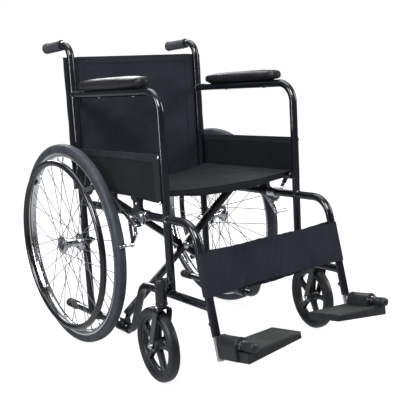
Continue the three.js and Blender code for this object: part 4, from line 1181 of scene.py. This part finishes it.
def brake(side, body):
    locked = BRAKE_LOCKED[side]
    released = 0 if locked else 1
    shoe = polar(SHOE_PIVOT, SHOE_ARM_LENGTH, SHOE_LOCKED_ANGLE - released * SHOE_TRAVEL)
    link_end = polar(shoe, LINK_LENGTH, LINK_LOCKED_ANGLE - released * LINK_TRAVEL)
    lever_angle = LEVER_LOCKED_ANGLE + released * LEVER_TRAVEL
    crank = polar(LEVER_PIVOT, LEVER_CRANK, lever_angle - LEVER_LOCKED_ANGLE - 90)

    # The clamp: a split band round the side rail, its two ears and bolts, and the pivot plate.
    y = AXLE_Y - 352
    bm = bmesh.new()
    band = [(-17, 11.3), (-17, 13.4), (-16, 14.2), (16, 14.2), (17, 13.4), (17, 11.3)]
    lathe(bm, band, towards((FRAME_X, y, SIDE_RAIL_Z), (0, 1, 0)), 48, closed=True)
    foot, head = SIDE_RAIL_Z - 23, SIDE_RAIL_Z - 8
    ears = rounded_outline([(y - 13, foot), (y + 13, foot), (y + 13, head), (y - 13, head)], 3)
    side_plate(bm, ears, FRAME_X + 8, 3)
    side_plate(bm, ears, FRAME_X + 12.4, 3)
    outline = [
        (y - 16, SIDE_RAIL_Z + 12),
        (y - 16, SIDE_RAIL_Z - 26),
        (LEVER_PIVOT.x - 4, LEVER_PIVOT.y - 12),
        (SHOE_PIVOT.x + 10, SHOE_PIVOT.y - 9),
        (SHOE_PIVOT.x + 10, SHOE_PIVOT.y + 9),
        (y + 18, SIDE_RAIL_Z + 12),
    ]
    side_plate(bm, rounded_outline(outline, [4, 6, 8, 7, 7, 5]), PLATE_LAYER, BRAKE_THICK)
    slot = "hardware_chrome"
    finish(bm, side + "_brake_bracket", CHROME, body, side, [side + "_brake_clamp"], slot, bevel=0.6)
    bm = bmesh.new()
    bolt(bm, (PLATE_LAYER + BRAKE_THICK - 0.2, y - 6, SIDE_RAIL_Z + 2), (1, 0, 0), 4.6, 3.2, 1.4)
    bolt(bm, (FRAME_X + 7.6, y, SIDE_RAIL_Z - 15.5), (-1, 0, 0), 4.2, 3.4, 1.3)
    dome(bm, (SHOE_LAYER + BRAKE_THICK, SHOE_PIVOT.x, SHOE_PIVOT.y), (1, 0, 0), 5.2, 2.4)
    finish(bm, side + "_brake_bracket_bolts", ZINC, body, side, slot=slot)

    # Shoe arm: its end is bent over into a rod that meets the tyre.
    bm = bmesh.new()
    side_plate(bm, link_outline(SHOE_PIVOT, shoe, 13.6), SHOE_LAYER, BRAKE_THICK)
    reach = WHEEL_X + 11 - SHOE_LAYER
    start = Vector((SHOE_LAYER + 1, shoe.x, shoe.y))
    lathe(bm, rounded_profile(reach - 1, 4.9, 1.2), towards(start, (1, 0, 0)), 28)
    shoe_body = side + "_brake_shoe_arm"
    finish(bm, shoe_body + "_plate", CHROME, shoe_body, side, [side + "_brake_shoe"], slot, bevel=0.5)

    bm = bmesh.new()
    side_plate(bm, link_outline(shoe, link_end, 14.6, 8.8), LINK_LAYER, BRAKE_THICK)
    link_body = side + "_brake_link_body"
    finish(bm, side + "_brake_link_plate", CHROME, link_body, side, [side + "_brake_link"], slot, bevel=0.5)

    bm = bmesh.new()
    side_plate(bm, link_outline(crank, LEVER_PIVOT, 13.6), LEVER_LAYER, BRAKE_THICK)
    bar = link_outline(LEVER_PIVOT, polar(LEVER_PIVOT, 92, lever_angle), 13.6, 11)
    side_plate(bm, bar, LEVER_LAYER, BRAKE_THICK)
    for at in (LEVER_PIVOT, crank):
        dome(bm, (LEVER_LAYER + BRAKE_THICK, at.x, at.y), (1, 0, 0), 4.8, 2.2)
    lever_body = side + "_brake_lever_body"
    finish(bm, side + "_brake_lever_bar", CHROME, lever_body, side, [side + "_brake_lever"], slot, bevel=0.5)
    bm = bmesh.new()
    grip_x = LEVER_LAYER + BRAKE_THICK / 2
    start = polar(LEVER_PIVOT, 66, lever_angle)
    end = polar(LEVER_PIVOT, LEVER_LENGTH, lever_angle)
    length = (end - start).length
    profile = [(0, 0), (0, 5.4), (1.5, 6.6)]
    count = 9
    for k in range(count):
        x = 6 + (length - 22) * k / count
        profile += [(x, 6.9), (x + 2, 6.2), (x + 5, 6.2), (x + 7, 6.9)]
    profile += [(length - 12, 7.3), (length - 3, 7.2), (length - 0.8, 5.6), (length, 3), (length, 0)]
    along = (grip_x, start.x, start.y), (0, end.x - start.x, end.y - start.y)
    lathe(bm, profile, towards(*along), 32)
    finish(bm, side + "_brake_grip", CAP_RUBBER, lever_body, side, slot=slot)


# ---- Cloth ----

CLOTH = 2.2
WRAP_R = TUBE_R + 0.7 + 1.2


def wrinkle(x, y, z, scale, seed):
    """Smooth deterministic noise from -1 to 1."""
    return noise.noise(Vector((x / scale + seed, y / scale, z / scale)))


def cloth_grid(place, columns, rows, name, material, thickness, body=None, **words):
    """A solid cloth from place(u, v), with u and v from 0 to 1."""
    bm = bmesh.new()
    grid = []
    for i in range(columns + 1):
        grid.append([bm.verts.new(place(i / columns, j / rows)) for j in range(rows + 1)])
    for i in range(columns):
        for j in range(rows):
            bm.faces.new([grid[i][j], grid[i + 1][j], grid[i + 1][j + 1], grid[i][j + 1]])
    obj = finish(bm, name, material, body, ride=body is not None, sharp=60, **words)
    solid = obj.modifiers.new("thickness", "SOLIDIFY")
    solid.thickness = thickness * MM
    solid.offset = 0
    solid.use_even_offset = True
    bake(obj)
    return obj


def bake(obj):
    """Applies every modifier, keeping the object's place and parent."""
    depsgraph = bpy.context.evaluated_depsgraph_get()
    mesh = bpy.data.meshes.new_from_object(obj.evaluated_get(depsgraph))
    obj.modifiers.clear()
    obj.data = mesh
    mesh.shade_smooth()
    mesh.set_sharp_from_angle(angle=math.radians(60))


BACK_LOW = low("back_sling", 2) + 12
BACK_HIGH = high("back_sling", 2)
BACK_SEAM = FRAME_X - 24


def back_surface(x, z):
    """Where the back sling's middle layer lies between its seams."""
    share = x / BACK_SEAM
    level = (z - BACK_LOW) / (BACK_HIGH - BACK_LOW)
    sag = 9 * (1 - share**2) * (0.75 + 0.35 * math.sin(math.pi * level))
    edge = math.exp(-(((abs(share) - 1) / 0.16) ** 2))
    folds = 4.0 * edge * wrinkle(x, 0, z * 0.22, 22, 3.1)
    pull = 4.0 * wrinkle(x + z * 0.45, 0, z * 0.55, 95, 8.4) + 2.0 * wrinkle(x - z * 0.6, 0, z, 52, 5.2)
    return Vector((x, AXLE_Y + 4.5 + sag + folds + pull * (1 - edge * 0.5), z))


def back_cloth():
    obj = cloth_grid(
        lambda u, v: back_surface((2 * u - 1) * BACK_SEAM, BACK_LOW + (BACK_HIGH - BACK_LOW) * v),
        150, 90, "back_sling_panel", BACK_CLOTH, CLOTH, "frame_right",
        replaces=["back_sling"], slot="sling_fabric",
    )
    squash_with_fold(obj)
    hem = cloth_grid(
        lambda u, v: back_surface((2 * u - 1) * BACK_SEAM, BACK_HIGH - 22 * (1 - v) + 0.8),
        150, 5, "back_sling_top_hem", BACK_CLOTH, CLOTH + 2.4, "frame_right", slot="sling_fabric",
    )
    squash_with_fold(hem)
    hem = cloth_grid(
        lambda u, v: back_surface((2 * u - 1) * BACK_SEAM, BACK_LOW + 18 * v - 0.8),
        150, 4, "back_sling_bottom_hem", BACK_CLOTH, CLOTH + 2.0, "frame_right", slot="sling_fabric",
    )
    squash_with_fold(hem)
    for side, sign in (("right", -1), ("left", 1)):

        def strip(u, v):
            z = BACK_LOW + (BACK_HIGH - BACK_LOW) * v
            return back_surface(sign * (BACK_SEAM - 20 * (1 - u)), z) - Vector((0, 0.8, 0))

        band = cloth_grid(
            strip, 8, 90, "back_sling_band_" + side, BACK_CLOTH, CLOTH + 2.2, "frame_right",
            slot="sling_fabric",
        )
        squash_with_fold(band)
    bm = bmesh.new()
    for z, lift in ((BACK_HIGH - 18, -2.4), (BACK_LOW + 15, -2.2)):
        line = []
        for i in range(91):
            line.append(back_surface(-BACK_SEAM + 2 * BACK_SEAM * i / 90, z) + Vector((0, lift, 0)))
        stitches(bm, line, (0, -1, 0))
    thread = finish(bm, "back_sling_thread", THREAD, "frame_right", slot="sling_fabric")
    squash_with_fold(thread)
    for side, body in SIDE_BODY.items():
        back_sleeve(side, body)


def squash_with_fold(obj):
    """Gives the cloth its own copy of its mesh."""
    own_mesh(obj)


def back_sleeve(side, body):
    """The part of the back sling that is sewn round the post."""

    def place(u, v):
        z = BACK_LOW + (BACK_HIGH - BACK_LOW) * v
        turn_share = max(0.0, min((u - 0.16) / 0.56, 1))
        angle = math.radians(36 + 124 * turn_share)
        loose = 0.5 * wrinkle(u * 30, 0, z * 0.4, 16, 2.0)
        radius = WRAP_R + loose * 0.4
        point = Vector((FRAME_X + radius * math.cos(angle), AXLE_Y + radius * math.sin(angle), z))
        if u < 0.16:
            return point + Vector(((0.16 - u) / 0.16 * (11 + 1.5 * wrinkle(0, 0, z, 60, 3.3)), 0, 0))
        if u > 0.72:
            share = (u - 0.72) / 0.28
            target = back_surface(BACK_SEAM, z)
            bow = 2.6 * math.sin(math.pi * share) * (0.6 + 0.6 * wrinkle(0, 0, z, 45, 7.0))
            point = point.lerp(target, share) + Vector((0, -bow, 0))
        return point

    cloth_grid(place, 40, 90, side + "_back_sleeve", BACK_CLOTH, CLOTH, body, side=side, slot="sling_fabric")
    bm = bmesh.new()
    for offset in (0.0, 5.0):
        line = []
        for i in range(60):
            z = BACK_LOW + 3 + (BACK_HIGH - BACK_LOW - 6) * i / 59
            at = back_surface(BACK_SEAM, z)
            line.append(Vector((at.x + 1.5 + offset, at.y - 1.5 - 0.2 * offset, at.z)))
        stitches(bm, line, (0, -1, 0))
    finish(bm, side + "_back_seam_thread", THREAD, body, side, slot="sling_fabric")


SEAT_FRONT = low("seat_sling", 1)
SEAT_BACK = high("seat_sling", 1)


def seat_surface(x, y):
    """Height of the seat sling's middle layer between the rails."""
    share = x / (FRAME_X - 8)
    depth = (y - SEAT_FRONT) / (SEAT_BACK - SEAT_FRONT)
    sag = 15 * (1 - share**2) * (1 - 0.35 * math.cos(math.pi * depth))
    edge = math.exp(-(((abs(share) - 1) / 0.14) ** 2))
    folds = 1.6 * edge * wrinkle(x, y * 0.3, 0, 24, 1.7)
    soft = 3.0 * wrinkle(x, y, 0, 110, 4.4) + 1.4 * wrinkle(x * 0.6, y, 0, 42, 9.1)
    return SEAT_RAIL_Z + WRAP_R - 0.2 - sag + folds + soft * (1 - edge)


def seat_line():
    """The sling's wrap round the left seat rail, listed as (x, z)."""
    samples = []
    for k in range(9):
        angle = math.radians(-20 + 110 * k / 8)
        samples.append((FRAME_X + WRAP_R * math.cos(angle), SEAT_RAIL_Z + WRAP_R * math.sin(angle)))
    return samples


def seat_cloth():
    wrap = seat_line()
    span = 110

    def point(i, y, drop=0.0):
        if i < len(wrap):
            x, z = wrap[i]
            return Vector((x, y, z - drop))
        if i >= len(wrap) + span - 1:
            x, z = wrap[len(wrap) + span - 2 + len(wrap) - i]
            return Vector((-x, y, z - drop))
        share = (i - len(wrap) + 1) / span
        x = FRAME_X * (1 - 2 * share)
        ease = min(1.0, (FRAME_X - abs(x)) / 14)
        z = seat_surface(math.copysign(min(abs(x), FRAME_X - 8), x), y)
        top = SEAT_RAIL_Z + WRAP_R
        return Vector((x, y, top + (z - top) * ease - drop))

    count = 2 * len(wrap) + span - 2

    def panel(u, v):
        return point(round(u * count), SEAT_FRONT + 2 + (SEAT_BACK - SEAT_FRONT - 4) * v)

    obj = cloth_grid(
        panel, count, 80, "seat_sling_panel", SEAT_CLOTH_PAINTED_SHADE, CLOTH,
        replaces=["seat_sling"], slot="sling_fabric",
    )
    length = 0.0
    for i in range(count):
        length += (point(i + 1, 0) - point(i, 0)).length
    blend_with_brace(obj)

    # The front edge: the sling is turned down over a piped hem.
    inner = len(wrap) + 5
    steps = count - 2 * inner

    def hem(u, v):
        i = inner + round(u * steps)
        angle = math.radians(90 + 92 * min(v / 0.35, 1))
        radius = 6.0
        base = point(i, SEAT_FRONT + 9)
        hang = 4 + 11 * (1 - (base.x / FRAME_X) ** 2) + 2.2 * wrinkle(base.x, 0, 0, 60, 2.2)
        fall = max(0.0, v - 0.35) / 0.65 * hang
        out = Vector((0, radius * math.cos(angle), radius * math.sin(angle) - radius))
        return base + out + Vector((0, -0.6 * math.sin(3 * v), -fall))

    front = cloth_grid(hem, steps, 22, "seat_front_hem", SEAT_CLOTH_PAINTED_SHADE, CLOTH, slot="sling_fabric")
    blend_with_brace(front)
    bm = bmesh.new()
    for v in (0.5, 0.93):
        line = [hem(i / steps, v) + Vector((0, -1.4, 0)) for i in range(steps + 1)]
        stitches(bm, line, (0, -1, 0))
    for sign in (-1, 1):
        line = []
        for k in range(80):
            y = SEAT_FRONT + 6 + (SEAT_BACK - SEAT_FRONT - 12) * k / 79
            line.append(Vector((sign * (FRAME_X - 22), y, seat_surface(sign * (FRAME_X - 22), y) + 1.1)))
        stitches(bm, line, (0, 0, 1))
    thread = finish(bm, "seat_thread", THREAD, None, slot="sling_fabric", ride=False)
    blend_with_brace(thread)


def blend_with_brace(obj):
    """Bakes the object's transform into its mesh."""
    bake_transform(obj)


def skirt_guard(side, body):
    """Side panel on the outer face of the two posts, from the back post to the front one."""
    top = 591
    lowest = 466
    x = FRAME_X + TUBE_R + 2.4
    back = AXLE_Y + 3
    front = FRONT_POST_Y - 1

    def bottom(y):
        share = (back - y) / (back - front)
        return lowest + 17 * math.exp(-(((share - 0.45) / 0.3) ** 2))

    def place(u, v):
        y = back + (front - back) * u
        inside = math.sin(math.pi * u)
        z = bottom(y) + (top - bottom(y)) * v
        wave = 1.1 * wrinkle(y, 0, z, 70, 6.6) + 0.5 * wrinkle(y, 0, z * 0.5, 28, 1.9)
        return Vector((x + inside * wave, y, z))

    obj = cloth_grid(
        place, 120, 30, side + "_guard_panel", GUARD_CLOTH, CLOTH, body,
        side=side, replaces=[side + "_skirt_guard"], slot="guard_fabric",
    )
    cloth_grid(
        lambda u, v: place(u, 1 - 0.15 * (1 - v)) + Vector((0, 0, 0.7 * v)),
        120, 6, side + "_guard_top_tape", TAPE, CLOTH + 2.2, body, side=side, slot="guard_fabric",
    )
    cloth_grid(
        lambda u, v: place(0.944 + 0.056 * u, 0.01 + 0.84 * v),
        8, 20, side + "_guard_front_tape", TAPE, CLOTH + 1.8, body, side=side, slot="guard_fabric",
    )
    bm = bmesh.new()
    for share in (0.865, 0.985):
        line = [place(i / 100, share) + Vector((2.3, 0, 0)) for i in range(1, 100)]
        stitches(bm, line, (1, 0, 0))
        line = [place(i / 100, share) + Vector((-2.3, 0, 0)) for i in range(1, 100)]
        stitches(bm, line, (-1, 0, 0))
    for u in (0.948, 0.994):
        line = [place(u, 0.03 + 0.8 * i / 30) + Vector((2.1, 0, 0)) for i in range(31)]
        stitches(bm, line, (1, 0, 0))
    finish(bm, side + "_guard_thread", THREAD, body, side, slot="guard_fabric")


STRAP_LOW = 252
STRAP_HIGH = 357
STRAP_SEAM = FRAME_X - 20


def strap_surface(x, level, layer):
    """The calf strap between its seams; layer 0 is in front and 1 behind."""
    z = STRAP_LOW + (STRAP_HIGH - STRAP_LOW) * level
    share = x / STRAP_SEAM
    lean = hanger_at(z).y
    slack = 1 - share**2
    drop = (3 + 10 * layer) * slack * (1 - 0.35 * level)
    sag = (13 - 4 * layer) * slack
    gather = 2.6 * wrinkle(x - z * 0.25, 0, z * 0.16, 21, 4.0 + layer)
    gather += 5.0 * wrinkle(x * 0.8 + z * 0.2, 0, z * 0.3, 55, 7.7 + layer)
    ridge = (1 - abs(wrinkle(x - z * 0.45, 0, z * 0.12, 30, 9.4 + layer))) ** 7
    gather += 4.2 * ridge
    depth = -WRAP_R if layer == 0 else WRAP_R
    pinch = 1 - 0.55 * slack
    return Vector((x, lean + depth * pinch + sag + gather * (0.35 + 0.65 * slack), z - drop))


def calf_strap():
    for layer, name in ((0, "calf_strap_front"), (1, "calf_strap_back")):
        obj = cloth_grid(
            lambda u, v: strap_surface((2 * u - 1) * STRAP_SEAM, v, layer),
            140, 34, name, STRAP_CLOTH, CLOTH, "frame_right",
            replaces=["calf_strap"] if layer == 0 else (), slot="sling_fabric",
        )
        squash_with_fold(obj)
    bm = bmesh.new()
    for level in (0.06, 0.94):
        line = []
        for i in range(101):
            line.append(strap_surface(-STRAP_SEAM + 2 * STRAP_SEAM * i / 100, level, 0) - Vector((0, 1.2, 0)))
        stitches(bm, line, (0, -1, 0))
    thread = finish(bm, "calf_strap_thread", THREAD, "frame_right", slot="sling_fabric")
    squash_with_fold(thread)
    for side, body in SIDE_BODY.items():
        strap_sleeve(side, body)


def strap_sleeve(side, body):
    """The strap's loop round a footrest hanger."""

    def place(u, v):
        z = STRAP_LOW + (STRAP_HIGH - STRAP_LOW) * v
        centre = hanger_at(z)
        front = strap_surface(STRAP_SEAM, v, 0)
        back = strap_surface(STRAP_SEAM, v, 1)
        if u < 0.2:
            share = u / 0.2
            return front.lerp(Vector((centre.x, centre.y - WRAP_R, z)), share)
        if u > 0.8:
            share = (u - 0.8) / 0.2
            return Vector((centre.x, centre.y + WRAP_R, z)).lerp(back, share)
        angle = math.radians(-90 + 180 * (u - 0.2) / 0.6)
        return Vector((centre.x + WRAP_R * math.cos(angle), centre.y + WRAP_R * math.sin(angle), z))

    cloth_grid(place, 60, 34, side + "_strap_loop", STRAP_CLOTH, CLOTH, body, side=side, slot="sling_fabric")


# ---- Armrest pads ----


def pad_shape(length, half, bottom, top):
    """A long pad with a crowned top, a tucked-in underside and a round front. Local y runs back."""
    bm = bmesh.new()
    rows = 60
    ring_points = 40
    rings = []
    for i in range(rows + 1):
        share = i / rows
        y = length * share
        front = min(1.0, y / half)
        rear = min(1.0, (length - y) / 9)
        width = half * math.sqrt(max(1 - (1 - front) ** 2.4, 0.0004))
        width *= 0.9 + 0.1 * math.sqrt(max(1 - (1 - rear) ** 2, 0))
        fall = 1 - 0.32 * (1 - front) ** 2 - 0.10 * (1 - rear)
        ring = []
        for k in range(ring_points):
            angle = 2 * math.pi * k / ring_points
            c, s = math.cos(angle), math.sin(angle)
            x = width * math.copysign(abs(c) ** 0.55, c)
            if s >= 0:
                z = bottom + 9 + (top - bottom - 9) * fall * s**0.62
            else:
                z = bottom + 9 - 9 * abs(s) ** 0.8
                x *= 1 - 0.16 * abs(s) ** 2
            ring.append(bm.verts.new((x, y, z)))
        rings.append(ring)
    for one, two in zip(rings, rings[1:]):
        skin(bm, one, two)
    bm.faces.new(rings[0])
    bm.faces.new(rings[-1])
    return bm


def puffed(obj, cap):
    """Swells a pad with a short cloth simulation, moving no point by more than cap metres."""
    remesh = obj.modifiers.new("remesh", "REMESH")
    remesh.mode = "VOXEL"
    remesh.voxel_size = 0.005
    bake(obj)
    rest = [v.co.copy() for v in obj.data.vertices]
    cloth = obj.modifiers.new("cloth", "CLOTH")
    cloth.settings.use_pressure = True
    cloth.settings.uniform_pressure_force = 3.0
    cloth.settings.effector_weights.gravity = 0
    cloth.settings.tension_stiffness = 25
    scene = bpy.context.scene
    for number in range(1, 15):
        scene.frame_set(number)
    depsgraph = bpy.context.evaluated_depsgraph_get()
    swollen = [v.co.copy() for v in obj.evaluated_get(depsgraph).data.vertices]
    obj.modifiers.clear()
    scene.frame_set(1)
    for vertex, start, end in zip(obj.data.vertices, rest, swollen):
        move = end - start
        if move.length > cap:
            move = move.normalized() * cap
        vertex.co = start + move
    smooth = obj.modifiers.new("smooth", "SMOOTH")
    smooth.iterations = 6
    smooth.factor = 0.5
    subdivision = obj.modifiers.new("subdivision", "SUBSURF")
    subdivision.levels = 1
    subdivision.render_levels = 1
    bake(obj)


def armrest_pads():
    """One simulated pad, used on both sides, and the moulded tray under each."""
    front = low("left_armrest_pad", 1)
    length = high("left_armrest_pad", 1) - front
    bottom = low("left_armrest_pad", 2) + 1.5
    top = high("left_armrest_pad", 2)
    bm = pad_shape(length - 3, 24, bottom, top - 1)
    bm.transform(Matrix.Translation((0, front + 1.5, 0)))
    first = finish(bm, "pad_master", PAD_SKIN, None, ride=False)
    puffed(first, 0.003)
    for side, body in SIDE_BODY.items():
        sign = -1 if side == "right" else 1
        mesh = first.data.copy()
        mesh.transform(Matrix.Translation((sign * FRAME_X * MM, 0, 0)))
        pad = bpy.data.objects.new(side + "_armrest_cushion", mesh)
        bpy.context.scene.collection.objects.link(pad)
        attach(pad, body)
        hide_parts(side + "_armrest_pad")
        pad_tray(side, body, front, length, low("left_armrest_pad", 2))
    bpy.data.objects.remove(first)


def pad_tray(side, body, front, length, bottom):
    bm = bmesh.new()
    half = 13
    near, far = front + 16, front + length - 6
    outline = [(-half, near), (half, near), (half, far), (-half, far)]
    plate(bm, rounded_outline(outline, [10, 10, 3, 3]), 6, Matrix.Translation((FRAME_X, 0, bottom - 0.8)))
    seam = [(-19.5, front + 10), (19.5, front + 10), (19.5, front + length - 5), (-19.5, front + length - 5)]
    plate(bm, rounded_outline(seam, [17, 17, 4, 4]), 2.4, Matrix.Translation((FRAME_X, 0, bottom + 4.4)))
    finish(bm, side + "_armrest_tray", BLACK_PLASTIC, body, side, slot="armrest_pad", bevel=0.7)


# ---- Stage, light and camera ----


def stage():
    """A pale round floor that curves up into a wall, like a studio cove."""
    bm = bmesh.new()
    profile = [(0, 0), (3.6, 0)]
    for k in range(1, 13):
        angle = math.pi / 2 * k / 12
        profile.append((3.6 + 1.6 * math.sin(angle), 1.6 * (1 - math.cos(angle))))
    profile.append((5.2, 4.4))
    rings = []
    for radius, z in profile:
        if radius == 0:
            rings.append([bm.verts.new((0, 0, 0))])
        else:
            circle = circle_points(Vector((0, 0, z)), radius, Vector((1, 0, 0)), Vector((0, 1, 0)), 96)
            rings.append([bm.verts.new(p) for p in circle])
    for one, two in zip(rings, rings[1:]):
        skin(bm, one, two)
    mesh = bpy.data.meshes.new("studio_cove")
    bm.to_mesh(mesh)
    bm.free()
    mesh.shade_smooth()
    m = Shader("cove_paper", (0.22, 0.22, 0.225), 0.85)
    m.drive("Base Color", m.ramp(m.noise(0.8, 3), [(0.3, (0.21, 0.21, 0.215)), (0.7, (0.23, 0.23, 0.235))]))
    m.bump(m.noise(40, 3), 0.2, 0.1)
    m.set("Emission Color", (1, 1, 1, 1))
    m.set("Emission Strength", 0.84)
    mesh.materials.append(m.material)
    cove = bpy.data.objects.new("studio_cove", mesh)
    bpy.context.scene.collection.objects.link(cove)
    cove.visible_glossy = False
    cove.visible_diffuse = False


def area_light(name, at, target, size, power, colour=(1, 1, 1)):
    data = bpy.data.lights.new(name, "AREA")
    data.shape = "RECTANGLE"
    data.size, data.size_y = size
    data.energy = power
    data.color = colour
    light = bpy.data.objects.new(name, data)
    light.location = at
    light.rotation_euler = (Vector(target) - Vector(at)).to_track_quat("-Z", "Y").to_euler()
    bpy.context.scene.collection.objects.link(light)


def lights():
    world = bpy.data.worlds.new("studio")
    world.use_nodes = True
    nodes = world.node_tree.nodes
    links = world.node_tree.links
    ray = nodes.new("ShaderNodeTexCoord")
    split = nodes.new("ShaderNodeSeparateXYZ")
    links.new(ray.outputs["Generated"], split.inputs["Vector"])
    ramp = nodes.new("ShaderNodeValToRGB")
    stops = [(0.0, 0.75), (0.36, 0.5), (0.47, 0.1), (0.66, 0.1), (0.8, 0.25), (1.0, 0.42)]
    while len(ramp.color_ramp.elements) < len(stops):
        ramp.color_ramp.elements.new(0.5)
    for element, (position, grey) in zip(ramp.color_ramp.elements, stops):
        element.position = position
        element.color = (grey * 0.95, grey * 0.98, grey, 1)
    height = nodes.new("ShaderNodeMapRange")
    height.inputs["From Min"].default_value = -1
    links.new(split.outputs["Z"], height.inputs["Value"])
    links.new(height.outputs["Result"], ramp.inputs["Fac"])
    links.new(ramp.outputs["Color"], nodes["Background"].inputs["Color"])
    bpy.context.scene.world = world
    target = (0, 0, 0.4)
    area_light("key_softbox", (-2.4, -2.2, 3.0), target, (1.6, 1.6), 150)
    area_light("strip_left", (-3.2, 0.2, 1.4), target, (0.5, 2.4), 60)
    area_light("fill_right", (2.8, -2.4, 2.0), target, (1.4, 2.0), 70)
    area_light("top_softbox", (0.2, 0.6, 4.0), target, (3.0, 3.0), 90)
    area_light("rear_softbox", (0.8, 3.4, 2.4), target, (2.4, 1.6), 110)


def camera():
    data = bpy.data.cameras.new("camera")
    data.lens = 64.36
    data.sensor_width = 36
    cam = bpy.data.objects.new("camera", data)
    bpy.context.scene.collection.objects.link(cam)
    yaw, pitch, roll = 0.64231, 0.16241, -0.05823
    ahead = Vector((math.sin(yaw) * math.cos(pitch), math.cos(yaw) * math.cos(pitch), -math.sin(pitch)))
    right = ahead.cross(Vector((0, 0, 1))).normalized()
    up = right.cross(ahead)
    across = right * math.cos(roll) + up * math.sin(roll)
    upward = up * math.cos(roll) - right * math.sin(roll)
    turn = Matrix((across, upward, -ahead)).transposed().to_4x4()
    cam.matrix_world = Matrix.Translation((-1.2415, AXLE_Y * MM - 1.94776, 0.76465)) @ turn
    bpy.context.scene.camera = cam


# ---- The whole chair ----

camera()
for side, body in SIDE_BODY.items():
    back_post(side, body)
    arm_tube(side, body)
    side_rail(side, body)
    footrest_hanger(side, body)
    lower_rail(side, body)
    caster_housing(side, body)
    seat_saddle(side, body)
    push_grip(side, body)
    tipping_cap(side, body)
    frame_screws(side, body)
    rear_wheel(side)
    rear_axle(side, body)
    caster_fork(side)
    caster_wheel(side)
    footrest(side)
    footplate_bush(side)
    footplate(side)
    brake(side, body)
    skirt_guard(side, body)
scissor_half("brace_a_tube", "cross_brace_a", "brace_a", SCISSOR_Y, False)
scissor_half("brace_b_tube", "cross_brace_b", "brace_b", SCISSOR_Y + SCISSOR_PITCH, True)
cross_bolt()
armrest_pads()
back_cloth()
seat_cloth()
calf_strap()
stage()
lights()
bpy.context.scene.view_settings.view_transform = "Standard"
